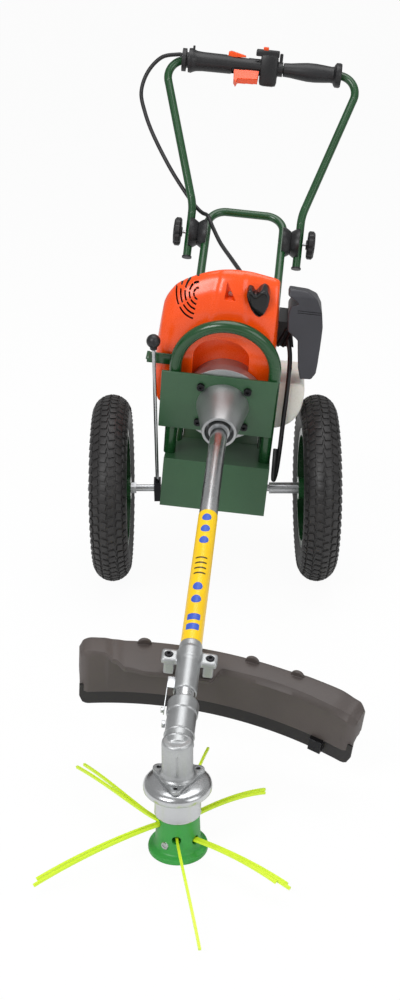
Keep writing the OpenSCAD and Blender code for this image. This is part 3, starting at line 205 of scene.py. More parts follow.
# Fasteners, rods and the axle: plated and blackened steel, turned or drawn, with a soft streaked shine.
# The gears and their shaft are of hardened steel, greyer and duller.
black_steel = surface("blackened_steel", ("#1b1b1d", "#323235"), 0.9, (0.3, 0.45), 0.02, metallic=0.8, edge_mm=0.5,
                      worn="#77787c")
bright_steel = surface("zinc_plated_steel", ("#a9abae", "#d0d1d3"), 0.8, (0.22, 0.36), 0.015, metallic=1.0,
                       edge_mm=0.4)
gear_steel = surface("hardened_gear_steel", ("#77797c", "#97999c"), 0.8, (0.28, 0.4), 0.015, metallic=1.0,
                     edge_mm=0.3)
coat(black_steel, "lever_foot", "plate_bolts", "pivot_block", "line_cutter")
coat(bright_steel, "axle", "axle_nuts", "axle_sleeve", "lean_lever", "gear_bearings")
coat(gear_steel, "drive_shaft", "bevel_pinion", "bevel_wheel")

# Castings of the drive line and engine: bare aluminium from a die, satin with a fine sandy grain.
# The drive tube is drawn aluminium, smoother and brighter.
cast_alloy = surface("die_cast_aluminium", ("#9fa1a2", "#c3c5c6"), 0.9, (0.34, 0.5), 0.05, metallic=0.9,
                     edge_mm=1.4)
drawn_alloy = surface("drawn_aluminium_tube", ("#b4b6b8", "#d2d3d4"), 0.6, (0.2, 0.32), 0.01, metallic=1.0)
coat(cast_alloy, "clutch_housing", "crankcase", "engine_cylinder")
coat(drawn_alloy, "drive_tube")

# Small black mouldings: the starter, carburettor, caps and ball knob, of one satin nylon.
# The handle, the discs, the hand wheels and the cables further down are of the same nylon.
black_nylon = surface("black_moulded_nylon", ("#0f0f11", "#18181b"), 0.7, (0.34, 0.48), 0.04, edge_mm=1.0)
coat(black_nylon, "starter_housing", "starter_grip", "carburettor", "fuel_cap", "ball_knob", "tube_caps")

# Tyres: moulded rubber over a steel rim, a round carcass with six rows of tread blocks, the rows
# staggered, and two raised rings on each sidewall.
tyre_rubber = surface("black_tyre_rubber", ("#1a191a", "#2a2828"), 1.0, (0.42, 0.6), 0.08, edge_mm=0.6)


def skinned(name, shell, rows, capped=True, smooth=35):
    """A skin over rows of points, each row closed on itself, with or without a lid at each end."""
    for here, there in zip(rows, rows[1:]):
        for k in range(len(here)):
            n = (k + 1) % len(here)
            shell.faces.new((here[k], here[n], there[n], there[k]))
    if capped:
        shell.faces.new(rows[0])
        shell.faces.new(rows[-1])
    bmesh.ops.remove_doubles(shell, verts=shell.verts, dist=1e-7)
    bmesh.ops.recalc_face_normals(shell, faces=shell.faces)
    return piece(name, shell, smooth)


def lathe(name, profile, steps=96):
    """A closed ring: the outline of (radius, along) points is turned about Z."""
    shell = bmesh.new()
    rings = []
    for i in range(steps):
        angle = math.tau * i / steps
        rings.append([shell.verts.new((r * math.cos(angle), r * math.sin(angle), z)) for r, z in profile])
    return skinned(name, shell, rings + rings[:1], capped=False)


def piece(name, shell, smooth=35):
    """A new object at the origin from a finished mesh, smooth across edges below an angle."""
    mesh = bpy.data.meshes.new(name)
    shell.to_mesh(mesh)
    shell.free()
    made = bpy.data.objects.new(name, mesh)
    bpy.context.scene.collection.objects.link(made)
    mesh.shade_smooth()
    mesh.set_sharp_from_angle(angle=math.radians(smooth))
    return made


def flatten(made):
    """The object's modifiers become its mesh."""
    bpy.context.view_layer.update()
    done = bpy.data.meshes.new_from_object(made.evaluated_get(bpy.context.evaluated_depsgraph_get()))
    made.modifiers.clear()
    made.data = done
    return made


ring_tree = bpy.data.node_groups.new("ring_of_copies", "GeometryNodeTree")
ring_sockets = {}
for label, kind, way in (("Geometry", "NodeSocketGeometry", "INPUT"), ("Count", "NodeSocketInt", "INPUT"),
                         ("Finish", "NodeSocketMaterial", "INPUT"), ("Geometry", "NodeSocketGeometry", "OUTPUT")):
    ring_sockets[label, way] = ring_tree.interface.new_socket(label, in_out=way, socket_type=kind).identifier
ring_in = add(ring_tree, "NodeGroupInput")
ring_step = add(ring_tree, "ShaderNodeMath", {0: math.tau, 1: ring_in.outputs["Count"]}, operation="DIVIDE")
ring_angle = add(ring_tree, "ShaderNodeMath", {0: add(ring_tree, "GeometryNodeInputIndex").outputs[0],
                                               1: ring_step.outputs[0]}, operation="MULTIPLY")
ring_turn = add(ring_tree, "ShaderNodeCombineXYZ", {"Z": ring_angle.outputs[0]})
ring_points = add(ring_tree, "GeometryNodePoints", {"Count": ring_in.outputs["Count"]})
ring_copies = add(ring_tree, "GeometryNodeInstanceOnPoints",
                  {"Points": ring_points.outputs[0], "Instance": ring_in.outputs["Geometry"],
                   "Rotation": ring_turn.outputs[0]})
ring_real = add(ring_tree, "GeometryNodeRealizeInstances", {0: ring_copies.outputs[0]})
ring_done = add(ring_tree, "GeometryNodeSetMaterial", {"Geometry": ring_real.outputs[0],
                                                       "Material": ring_in.outputs["Finish"]})
add(ring_tree, "NodeGroupOutput", {0: ring_done.outputs[0]})


def ring_of(made, count, finish):
    """Copies of one small piece, evenly turned about Z, as a plain mesh."""
    modifier = made.modifiers.new("ring", "NODES")
    modifier.node_group = ring_tree
    modifier[ring_sockets["Count", "INPUT"]] = count
    modifier[ring_sockets["Finish", "INPUT"]] = finish
    return dressed(flatten(made), finish)


def dressed(made, finish):
    """The piece in one finish."""
    made.data.materials.clear()
    made.data.materials.append(finish)
    return made


def joined(name, parts):
    """Several pieces of one body as one object; the first part's name is dropped."""
    whole = bmesh.new()
    finishes = []
    for part in parts:
        finish = part.data.materials[0]
        if finish not in finishes:
            finishes.append(finish)
        start = len(whole.faces)
        whole.from_mesh(part.data)
        whole.faces.ensure_lookup_table()
        for face in whole.faces[start:]:
            face.material_index = finishes.index(finish)
        bpy.data.objects.remove(part)
    made = piece(name, whole)
    for finish in finishes:
        made.data.materials.append(finish)
    return made


def boxed(name, low, high, bevel, turn=Matrix()):
    """A block with rounded edges between two corners."""
    shell = bmesh.new()
    bmesh.ops.create_cube(shell, size=1)
    size = Vector(high) - Vector(low)
    middle = (Vector(high) + Vector(low)) / 2
    place = turn @ Matrix.Translation(middle) @ Matrix.Diagonal((*size, 1))
    bmesh.ops.transform(shell, matrix=place, verts=shell.verts)
    if bevel:
        bmesh.ops.bevel(shell, geom=shell.edges, offset=bevel, segments=2, affect="EDGES", profile=0.6)
    return piece(name, shell)


tyre_r, tyre_tube_r = 0.165, 0.033
block_depth, block_half, block_sunk, block_bevel = 0.0022, 0.0054, 0.002, 0.0010
carcass_r = tyre_tube_r - block_depth
rim_seat_r = 0.104
half_steps = 20
ring_steps, ring_rise = (12, 13, 16), 0.0009
tread_rows, tread_tilt = (-62, -37, -12, 12, 37, 62), 14
blocks_round = 64


def tyre(name, body, node):
    """A carcass with its tread, in the place of the solid tyre."""
    low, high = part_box(node)
    centre_r = tyre_r - tyre_tube_r
    bead = math.acos((rim_seat_r - centre_r) / carcass_r)
    outline = []
    for i in range(-half_steps, half_steps + 1):
        angle = bead * i / half_steps
        reach = carcass_r + (ring_rise if abs(i) in ring_steps else 0.0)
        outline.append((centre_r + reach * math.cos(angle), reach * math.sin(angle)))
    parts = [dressed(lathe("carcass", outline, 120), tyre_rubber)]
    for k, row in enumerate(tread_rows):
        tilt = Matrix.Rotation(math.radians(tread_tilt if k % 2 else -tread_tilt), 4, "X")
        lift = Matrix.Translation((centre_r, 0, 0)) @ Matrix.Rotation(math.radians(-row), 4, "Y")
        turn = Matrix.Rotation(math.tau / blocks_round / 2 * (k % 2), 4, "Z")
        block = boxed("block", (carcass_r - block_sunk, -block_half, -block_half),
                      (tyre_tube_r, block_half, block_half), block_bevel, turn @ lift @ tilt)
        parts.append(ring_of(block, blocks_round, tyre_rubber))
    whole = joined(name, parts)
    whole.data.transform(Matrix.Translation((low + high) / 2) @ Matrix.Rotation(math.pi / 2, 4, "Y"))
    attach(whole, body)
    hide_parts(node)


tyre("tread_tyre_left", "left wheel", "tyre_left")
tyre("tread_tyre_right", "right wheel", "tyre_right")

# Engine cover: one orange moulded shell, blown up at the left for the fan, flat at the right, with a raised
# centre band, a pocket behind the hoop, slotted air vents in arcs and a three-cornered screw recess.
orange_plastic = surface("orange_moulded_shell", ("#f24a04", "#fb560a"), 1.2, (0.22, 0.32), 0.015, edge_mm=1.6,
                         Coat_Weight=0.25, Coat_Roughness=0.15)
lean, lean_axis_drop, engine_tilt = math.radians(6.5), math.radians(35), math.radians(15.5)
axle_at = Vector((0.05338, 0.78809, 0.165))
lean_axis = Vector((0, math.cos(lean_axis_drop), -math.sin(lean_axis_drop)))
chassis_place = Matrix.Translation(axle_at) @ Matrix.Rotation(lean, 4, lean_axis)
engine_place = chassis_place @ Matrix.Translation((0, -0.070, 0.177)) @ Matrix.Rotation(engine_tilt, 4, "X")
facing_y = Matrix.Rotation(math.pi / 2, 4, "X")


def prism(name, outline, start, end, turn=facing_y, finish=None):
    """A flat outline drawn out from one depth to another along Y, or along the turned Z axis."""
    shell = bmesh.new()
    ends = [[shell.verts.new((x, z, -depth)) for x, z in outline] for depth in (start, end)]
    for side in ends:
        shell.faces.new(side)
    for i in range(len(outline)):
        n = (i + 1) % len(outline)
        shell.faces.new((ends[0][i], ends[0][n], ends[1][n], ends[1][i]))
    bmesh.ops.recalc_face_normals(shell, faces=shell.faces)
    bmesh.ops.transform(shell, matrix=turn, verts=shell.verts)
    made = piece(name, shell)
    return dressed(made, finish) if finish else made


def combine(made, other, operation):
    """Adds, cuts or keeps the common part of two solids; the second is used up and lends its finish."""
    modifier = made.modifiers.new(operation, "BOOLEAN")
    modifier.operation = operation
    modifier.object = other
    modifier.solver = "EXACT"
    modifier.material_mode = "TRANSFER"
    flatten(made)
    bpy.data.objects.remove(other)
    return made


def moulded(made, cell, rounds, finish):
    """Rounds a sharp solid: an even skin of small cells, smoothed so many times."""
    skin = made.modifiers.new("skin", "REMESH")
    skin.mode = "VOXEL"
    skin.voxel_size = cell
    even = made.modifiers.new("even", "SMOOTH")
    even.factor = 0.5
    even.iterations = rounds
    flatten(made).data.shade_smooth()
    return dressed(made, finish)


def placed(made, place, body, slot_name, *stands_for):
    """Puts a piece drawn in a part's own frame into the row frame and lets it ride with a body."""
    made.data.transform(place)
    made.data.set_sharp_from_angle(angle=math.radians(38))
    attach(made, body)
    if stands_for:
        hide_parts(*stands_for)
    return made


cover_back = 0.026
ridge_mm = ((-108, -24), (-116, -20), (-121.3, 3), (-123, 20), (-123, 40), (-120.9, 80), (-117.5, 117),
            (-114.6, 142), (-110.9, 152.4), (-106, 161), (-101, 169), (-95.6, 176), (-79.4, 187.6), (-63.2, 196),
            (-43, 204.4), (-22.7, 210), (-6, 212), (12.5, 212), (27, 211), (61, 204.6), (71.8, 202), (73.5, 177),
            (76.4, 142), (78.6, 93), (79.5, 50), (79, 10), (68, -20))
side_mm = ((26, 84, 0.94), (28, 96, 0.96), (36, 124, 0.98), (46, 158, 1.0), (58, 185, 1.0), (70, 203, 1.0),
           (78, 210, 1.0), (84, 212, 1.0), (92, 207, 0.985), (104, 197, 0.95), (120, 180, 0.88), (140, 156, 0.78),
           (160, 130, 0.66), (178, 96, 0.52), (186, 76, 0.44))
crest = 212.0
band_mm = ((-36, 112), (-30, 158), (-22.5, 215), (12.5, 215), (20, 158), (26, 112))
band_rise = 3.5
recess_mm = ((-15, 173.5), (3.5, 173.5), (-13, 198.5))
pocket_at, pocket_wide, pocket_high = (-0.0105, 0.078), 0.0465, 0.032
vent_at, vent_first, vent_pitch, vent_half = (-0.0577, 0.174), 0.008, 0.0074, 0.0013


def drawn(points):
    """A table of millimetres as metres."""
    return [(x / 1000, z / 1000) for x, z in points]


def arc(centre, radius, start, end, steps):
    """Points on a circle from one angle to another, in degrees."""
    turns = [math.radians(start + (end - start) * i / steps) for i in range(steps + 1)]
    return [(centre[0] + radius * math.cos(a), centre[1] + radius * math.sin(a)) for a in turns]


def lofted(name, outline, stations, grow=0.0):
    """An outline drawn back through stations of (depth, height of its crest, share of its width)."""
    shell = bmesh.new()
    rows = [[shell.verts.new((x / 1000 * wide, (depth - grow) / 1000, z / 1000 * (high / crest if z > 0 else 1)))
             for x, z in outline] for depth, high, wide in stations]
    return skinned(name, shell, rows)


cover = lofted("engine_shell", ridge_mm, side_mm)
band = prism("band", drawn(band_mm), cover_back - 0.02, cover_back + 0.09)
combine(band, lofted("raised", ridge_mm, side_mm, band_rise), "INTERSECT")
combine(cover, band, "UNION")
moulded(cover, 0.0030, 7, orange_plastic)
pocket = [(pocket_at[0] + pocket_wide * x, pocket_at[1] + pocket_high * z) for x, z in arc((0, 0), 1, 0, 180, 15)]
pocket += [(pocket_at[0] - pocket_wide, -0.02), (pocket_at[0] + pocket_wide, -0.02)]
combine(cover, prism("pocket", pocket, -0.05, cover_back + 0.026, finish=orange_plastic), "DIFFERENCE")
recess = prism("screw_recess", drawn(recess_mm), 0, cover_back + 0.0385, finish=orange_plastic)
combine(cover, recess, "DIFFERENCE")
vents = []
for k in range(5):
    vent_r = vent_first + vent_pitch * k
    for start, end in ((96, 128), (134, 172), (180, 214), (220, 262)):
        vent = arc(vent_at, vent_r + vent_half, start, end, 6) + arc(vent_at, vent_r - vent_half, end, start, 6)
        vents.append(prism("vent", vent, 0, cover_back + 0.075, finish=black_nylon))
combine(cover, joined("vents", vents), "DIFFERENCE")
placed(cover, engine_place, "chassis", "orange_plastic", "engine_cover")

# Cover screw: a plated pan head deep in the three-cornered recess.
# It faces forward, along the engine's own axis.
along_y = Matrix.Rotation(-math.pi / 2, 4, "X")
cover_screw_at = Matrix.Translation((-0.0062, cover_back + 0.0365, 0.1785))
cover_screw = lathe("cover_screw", ((0, 0), (0.0038, 0), (0.0044, 0.0012), (0.0044, 0.004), (0, 0.004)), 32)
placed(dressed(cover_screw, bright_steel), engine_place @ cover_screw_at @ along_y, "chassis", "bright_steel")

# Plug boot: a glossy black rubber cap pushed over the spark plug.
# It has two lobes over a tapered chin.
boot_rubber = surface("glossy_boot_rubber", ("#070709", "#101012"), 6.0, (0.1, 0.16), 0.002, edge_mm=2.0)
boot_mm = ((22.5, 197.5), (19.5, 191), (22, 179), (29.5, 163), (37.5, 153), (45, 150), (52, 158), (57, 173),
           (58, 188), (54, 197), (47, 200), (40, 196.5), (34, 188.5), (29.5, 195.5))
boot_front, boot_back = 0.044, 0.084
boot = moulded(prism("boot_cap", drawn(boot_mm), boot_front, boot_back), 0.0014, 16, boot_rubber)
placed(boot, engine_place, "chassis", "black_plastic", "plug_boot")

# Air filter cover: dark grey, rounded at the right, with a beak over the notch at its upper left and a
# moulded double seam a quarter of the way down.
grey_plastic = surface("grey_moulded_cover", ("#2c2c31", "#37373d"), 0.6, (0.36, 0.5), 0.05, edge_mm=2.5)
filter_d = 0.090
filter_mm = ((2.2, 155), (34, 151.5), (50, 140.5), (60, 120), (64, 97), (64.3, 77), (63.7, 33), (62.5, 17.5),
             (56.5, 6.5), (37.5, 4.5), (32, 23), (26, 70), (7.6, 84), (5, 114), (8.5, 126), (21, 130.7), (1.5, 143.5))
filter_side_mm = ((0, 0), (0, 143), (6, 152), (14, 156), (24, 155), (48, 143), (90, 112), (90, 8), (82, 0))
filter_at = Matrix.Translation((0.0855, -0.0525, 0.22833))
seam_rows, seam_t = (0.116, 0.1195), 0.0009
along_side = Matrix(((0, 0, 1, 0), (1, 0, 0, 0), (0, 1, 0, 0), (0, 0, 0, 1)))
filter_shell = prism("filter_shell", drawn(filter_mm), 0, filter_d)
combine(filter_shell, prism("side", drawn(filter_side_mm), -0.1, 0.1, along_side), "INTERSECT")
moulded(filter_shell, 0.0016, 6, grey_plastic)
for seam_z in seam_rows:
    combine(filter_shell, boxed("seam", (0.02, -0.01, seam_z), (0.08, 0.1, seam_z + seam_t), 0), "DIFFERENCE")
placed(filter_shell, chassis_place @ filter_at, "chassis", "grey_plastic", "filter_cover")

# Fuel tank: blown milky polyethylene that lets a little light in.
# Its lower right corner is one wide curve, the others are soft.
tank_plastic = surface("milky_polyethylene", ("#e4e0d6", "#efece4"), 3.0, (0.35, 0.45), 0.02, edge_mm=3.0,
                       Subsurface_Weight=0.15, Subsurface_Scale=0.01)
tank_w, tank_h, tank_d = 0.055, 0.086, 0.130
tank_at = Matrix.Translation((0.079985, -0.021, 0.12944))
tank_round, tank_edge, tank_foot = tank_w * 0.98, 0.011, 0.006
tank_outline = arc((tank_w - tank_round, tank_round), tank_round, -90, 0, 10)
tank_outline += arc((tank_w - tank_edge, tank_h - tank_edge), tank_edge, 0, 90, 6)
tank_outline += [(0, tank_h), (0, tank_foot)]
tank = prism("milk_tank", tank_outline, 0, tank_d)
moulded(tank, 0.0025, 12, tank_plastic)
placed(tank, chassis_place @ tank_at, "chassis", "tank_plastic", "fuel_tank")

# Guard: one long moulded hood round the rear of the cutting circle. Its shelf swoops forward under the clamp,
# both ends swell into closed lobes, and three rounded tabs stand on the rear edge.
guard_plastic = surface("brown_grey_moulded_guard", ("#453e3c", "#534b48"), 0.8, (0.45, 0.6), 0.05, edge_mm=1.5)
shaft_turn, shaft_tilt, guard_roll = math.radians(-5.195), math.radians(15.26), math.radians(5.5)
shaft_place = (Matrix.Rotation(shaft_turn, 4, "Z") @ Matrix.Translation((0, 0, 0.144856))
               @ Matrix.Rotation(shaft_tilt, 4, "X"))
guard_place = shaft_place @ Matrix.Rotation(guard_roll, 4, "Y")
guard_r, guard_at, guard_side, guard_flange, guard_low, guard_wall = 0.512, 0.173, 0.030, 0.036, 0.026, 0.066
guard_right, guard_left, skin_t = 29.6, 12.9, 0.003
guard_foot = -guard_low - guard_wall
tab_shares = (0.25, 0.41, 0.78)
arc_place = guard_place @ Matrix.Translation((-guard_side, guard_at - guard_r, 0))
along_x = Matrix.Rotation(math.pi / 2, 4, "Y")
end_share = 0.03
hood_run = ((0.00, 0.010, -0.012, -0.006), (0.03, 0.006, -0.004, 0.000), (0.10, 0.003, 0.000, 0.004),
            (0.20, 0.004, 0.000, 0.003), (0.30, 0.005, -0.001, 0.000), (0.50, 0.003, -0.001, 0.000),
            (0.53, -0.022, -0.001, 0.000), (0.76, -0.023, -0.001, 0.000), (0.84, -0.018, 0.000, 0.000),
            (0.88, -0.008, 0.004, 0.002), (0.92, 0.000, 0.009, 0.005), (0.96, 0.002, 0.010, 0.006),
            (0.985, 0.005, 0.008, 0.004), (1.00, 0.010, 0.000, -0.004))


def along(run, t):
    """The values of a table at a place between its rows, eased from row to row."""
    for a, b in zip(run, run[1:]):
        if t <= b[0]:
            s = (t - a[0]) / (b[0] - a[0])
            s = s * s * (3 - 2 * s)
            return [p + (q - p) * s for p, q in zip(a[1:], b[1:])]
    return run[-1][1:]


def hood_section(t):
    """The hood cut across: the front wall, the shelf and the rear lip, there and back at skin thickness."""
    front, shelf, rear = along(hood_run, t)
    end = max(0.0, 1 - min(t, 1 - t) / end_share)
    r0, r1 = guard_r + 0.010 * end * end, guard_r + guard_flange - 0.006 * end * end
    top, lip = -guard_low + shelf, -guard_low + rear
    if end > 0.35:
        lip_foot, under = guard_foot + 0.020, guard_foot + 0.018
    else:
        lip_foot, under = lip - 0.010, min(top, lip) - skin_t
    edge = guard_r + front
    outside = [(r0, guard_foot), (r0, top - 0.011), (min(edge, r0) + 0.0004, top - 0.0075), (edge, top - 0.0035),
               (edge + 0.0022, top - 0.0005), (edge + 0.006, top), (r1 - 0.007, lip), (r1 - 0.002, lip - 0.001),
               (r1, lip - 0.004), (r1, lip_foot)]
    inside = [(r1 - skin_t, lip_foot), (r1 - skin_t - 0.001, under - 0.002), (r0 + skin_t + 0.006, under - 0.002),
              (r0 + skin_t, under - 0.008), (r0 + skin_t, guard_foot)]
    return outside + inside


def guard_turn(t, before=0.0, after=0.0):
    """The angle at a share of the way round the guard, which may be longer by some degrees at its ends."""
    return math.radians(90 - guard_right - before + (guard_right + guard_left + before + after) * t)


def swept(name, section, steps, before=0.0, after=0.0):
    """A section, given for each share of the way, drawn round the guard."""
    shell = bmesh.new()
    rows = []
    for i in range(steps + 1):
        turn = guard_turn(i / steps, before, after)
        rows.append([shell.verts.new((r * math.cos(turn), r * math.sin(turn), z)) for r, z in section(i / steps)])
    return skinned(name, shell, rows)


def turned(name, profile, steps, place, finish):
    """A turned piece in its place and finish."""
    made = lathe(name, profile, steps)
    made.data.transform(place)
    return dressed(made, finish)


hood_parts = [dressed(swept("hood", hood_section, 180), guard_plastic)]
for share in tab_shares:
    tab_place = (Matrix.Rotation(guard_turn(share), 4, "Z")
                 @ Matrix.Translation((guard_r + guard_flange - 0.009, 0, -guard_low)) @ along_x)
    hood_parts.append(turned("tab", ((0, 0), (0.0085, 0), (0.0095, 0.0012), (0.0095, 0.0036), (0.0085, 0.0048),
                                     (0, 0.0048)), 40, tab_place, guard_plastic))
placed(joined("guard_hood", hood_parts), arc_place, "chassis", "guard_plastic", "guard_shell")

# Guard strap: a thin plated strip beside the tube, from a tab on the clamp's sleeve down to the neck of the gear
# case, with a small clip at its end.
strap_parts = (("strip", (-0.0240, 0.058, -0.004), (-0.0228, 0.116, 0.006), 0.0003),
               ("tab", (-0.0240, 0.097, 0.0045), (-0.0140, 0.116, 0.0060), 0.0004),
               ("clip", (-0.0275, 0.059, -0.002), (-0.0230, 0.064, 0.004), 0.0008),
               ("foot", (-0.0240, 0.040, -0.008), (-0.0195, 0.046, 0.000), 0.0008))
strap = joined("guard_strap", [dressed(boxed(*part), bright_steel) for part in strap_parts])
placed(strap, guard_place, "chassis", "bright_steel")

# Guard skirt: a flexible strip of black rubber hung inside the front wall.
# It shows as a dark band under the wall, its lower corners rounded.
skirt_rubber = surface("black_rubber_skirt", ("#0b0808", "#150f0f"), 1.0, (0.4, 0.55), 0.04, edge_mm=0.6)
skirt_front, skirt_back = guard_r + 0.0032, guard_r + 0.0056
skirt_top, skirt_low = guard_foot + 0.012, guard_foot - 0.026
skirt_round, skirt_corner = 0.034, 0.016


def skirt_section(t):
    """The strip cut across."""
    near = min(1.0, min(t, 1 - t) / skirt_round)
    low = skirt_low + skirt_corner * (1 - math.sqrt(1 - (1 - near) ** 2))
    return (skirt_front, skirt_top), (skirt_front, low), (skirt_back, low), (skirt_back, skirt_top)


skirt = dressed(swept("skirt_strip", skirt_section, 96, 0.3, 0.1), skirt_rubber)
placed(skirt, arc_place, "chassis", "skirt_rubber", "guard_skirt")

# Guard clamp: a long cast sleeve round the tube with an ear on each side, a sunk black bolt in each ear and a
# pillar under each ear that stands on the guard.
ear_x, ear_y = 0.0275, 0.1565
clamp = turned("clamp", ((0.0130, 0.094), (0.0150, 0.094), (0.0156, 0.0955), (0.0156, 0.146), (0.0168, 0.150),
                         (0.0170, 0.166), (0.0156, 0.170), (0.0156, 0.1795), (0.0150, 0.181), (0.0130, 0.181)),
               72, along_y, cast_alloy)
ear_places = [Matrix.Translation((side * ear_x, ear_y, 0)) for side in (-1, 1)]
for side in (-1, 1):
    inner, outer = sorted((side * 0.0120, side * 0.0375))
    combine(clamp, boxed("ear", (inner, 0.1455, -0.0050), (outer, 0.1680, 0.0050), 0.0045), "UNION")
    inner, outer = sorted((side * 0.0190, side * 0.0335))
    combine(clamp, boxed("pillar", (inner, 0.1490, -guard_low), (outer, 0.1640, 0), 0.003), "UNION")
moulded(clamp, 0.0010, 4, cast_alloy)
for place in ear_places:
    seat = turned("seat", ((0, 0.0030), (0.0060, 0.0030), (0.0060, 0.02), (0, 0.02)), 40, place, cast_alloy)
    combine(clamp, seat, "DIFFERENCE")
placed(clamp, guard_place, "chassis", "cast_alloy", "guard_clamp")
bolt_profile = ((0, 0.0042), (0.0023, 0.0042), (0.0025, 0.0066), (0.0044, 0.0066), (0.0052, 0.0058),
                (0.0052, 0.0030), (0, 0.0030))
sunk_bolts = [turned("bolt", bolt_profile, 36, place, black_steel) for place in ear_places]
placed(joined("sunk_bolts", sunk_bolts), guard_place, "chassis", "dark_steel", "guard_bolts")

# Gear case: an elbow die-cast in aluminium. A short neck takes the tube, a round body stands over the line head,
# and a three-cornered plate with sunk screws lies on a bright dished flange that covers the top of the head.
case_r = 0.0195
screw_reach, screw_turns, corner_r = 0.0290, (28, 144, 266), 0.0080
screw_spots = [arc((0, 0), screw_reach, degrees, degrees, 1)[0] for degrees in screw_turns]
elbow = lathe("elbow", ((0, 0.104), (0.0235, 0.104), (0.0232, 0.1095), (0.0208, 0.1120), (case_r, 0.1170),
                        (case_r, 0.1545), (0.0190, 0.1580), (0.0175, 0.1600), (0, 0.1600)))
neck = turned("neck", ((0, 0), (0.0186, 0), (0.0188, 0.0555), (0.0202, 0.0575), (0.0204, 0.0745), (0.0194, 0.0765),
                       (0, 0.0765)), 96, shaft_place @ along_y, cast_alloy)
combine(elbow, neck, "UNION")
plate_outline = []
for degrees, spot in zip(screw_turns, screw_spots):
    plate_outline += arc(spot, corner_r, degrees - 60, degrees + 60, 12)
combine(elbow, prism("plate", plate_outline, -0.1035, -0.1095, Matrix()), "UNION")
moulded(elbow, 0.0009, 4, cast_alloy)
case_bolts = []
for spot in screw_spots:
    place = Matrix.Translation((*spot, 0))
    hole = turned("hole", ((0, 0.1072), (0.0029, 0.1072), (0.0029, 0.12), (0, 0.12)), 32, place, black_steel)
    combine(elbow, hole, "DIFFERENCE")
    case_bolts.append(turned("bolt", ((0, 0.1072), (0.0024, 0.1072), (0.0024, 0.1084), (0.0012, 0.1088),
                                      (0, 0.1080)), 24, place, black_steel))
rings = [turned("ring", ((0.0180, t - 0.0014), (0.0193, t - 0.0009), (0.0196, t), (0.0193, t + 0.0009),
                         (0.0180, t + 0.0014)), 72, shaft_place @ along_y, cast_alloy) for t in (0.0110, 0.0225)]
rib = dressed(boxed("rib", (-0.0008, -0.0207, 0.1215), (0.0008, -0.0180, 0.1475), 0.0005), cast_alloy)
dish = lathe("dish", ((0.018, 0.1055), (0.030, 0.1045), (0.0365, 0.1030), (0.0405, 0.1005), (0.0424, 0.0980),
                      (0.0430, 0.0950), (0.0428, 0.0915), (0.0418, 0.0900), (0.0404, 0.0908), (0.0398, 0.0950),
                      (0.0360, 0.0985), (0.0310, 0.0995), (0.018, 0.0995)), 128)
elbow_case = joined("elbow_case", [elbow, rib, dressed(dish, drawn_alloy)] + rings)
placed(elbow_case, Matrix(), "chassis", "cast_alloy", "gear_case")
placed(joined("case_bolts", case_bolts), Matrix(), "chassis", "gear_steel", "case_screws")

# Line head: a green moulded drum with a wide foot, a bright turned ring round its top, a screw and line holes
# drilled at different heights.
head_plastic = surface("green_moulded_head", ("#2a8a36", "#37a043"), 0.8, (0.3, 0.42), 0.03, edge_mm=1.0)
head_holes = ((206, 0.046), (267, 0.031), (322, 0.0245), (32, 0.040), (76, 0.040))
head_screw = (236, 0.0205)


def drilled(degrees, height):
    """The place of a bore that runs out from the head's axis."""
    return Matrix.Rotation(math.radians(degrees), 4, "Z") @ Matrix.Translation((0, 0, height)) @ along_x


drum = dressed(lathe("line_drum", ((0, 0), (0.0360, 0), (0.0378, 0.0013), (0.0380, 0.0045), (0.0374, 0.0068),
                                   (0.0358, 0.0080), (0.0315, 0.0088), (0.0296, 0.0108), (0.0286, 0.0160),
                                   (0.0272, 0.0560), (0, 0.0560)), 128), head_plastic)
for spot in head_holes:
    hole = turned("hole", ((0, 0.016), (0.0058, 0.016), (0.0058, 0.05), (0, 0.05)), 40, drilled(*spot), head_plastic)
    combine(drum, hole, "DIFFERENCE")
drum_screw = turned("screw", ((0, 0.0290), (0.0020, 0.0290), (0.0024, 0.0302), (0.0045, 0.0302), (0.0050, 0.0294),
                              (0.0050, 0.0250), (0, 0.0250)), 32, drilled(*head_screw), bright_steel)
placed(joined("line_drum", [drum, drum_screw]), Matrix(), "line head", "head_plastic", "line_head")
head_ring = lathe("turned_ring", ((0, 0.0555), (0.0290, 0.0555), (0.0295, 0.0562), (0.0295, 0.0572),
                                  (0.0291, 0.0578), (0.0290, 0.0880), (0.0272, 0.0945), (0, 0.0945)), 128)
placed(dressed(head_ring, drawn_alloy), Matrix(), "line head", "cast_alloy", "head_ring")

# Cutting lines: square nylon cord in a neon yellow, singly or side by side out of the holes, bent by their own
# weight towards the tips.
line_nylon = surface("neon_nylon_line", ("#c8ea1e", "#dcf53a"), 1.0, (0.3, 0.4), 0.02, edge_mm=0.3)
strand_r, strand_apart, strand_rise = 0.0023, 0.0018, 0.011


def tube_along(name, line, radius, finish, sides=14):
    """A tube along a line of points, closed at both ends; four sides make a square cord."""
    shell = bmesh.new()
    rings = []
    across = (line[1] - line[0]).orthogonal().normalized()
    for i, point in enumerate(line):
        ahead = (line[min(i + 1, len(line) - 1)] - line[max(i - 1, 0)]).normalized()
        across = (across - ahead * across.dot(ahead)).normalized()
        beside = ahead.cross(across)
        rings.append([shell.verts.new(point + radius * (math.cos(a) * across + math.sin(a) * beside))
                      for a in (math.tau * k / sides for k in range(sides))])
    return dressed(skinned(name, shell, rings, smooth=60), finish)


def round_axis(degrees, reach, height):
    """A point about the head's axis."""
    return Vector((reach * math.cos(math.radians(degrees)), reach * math.sin(math.radians(degrees)), height))


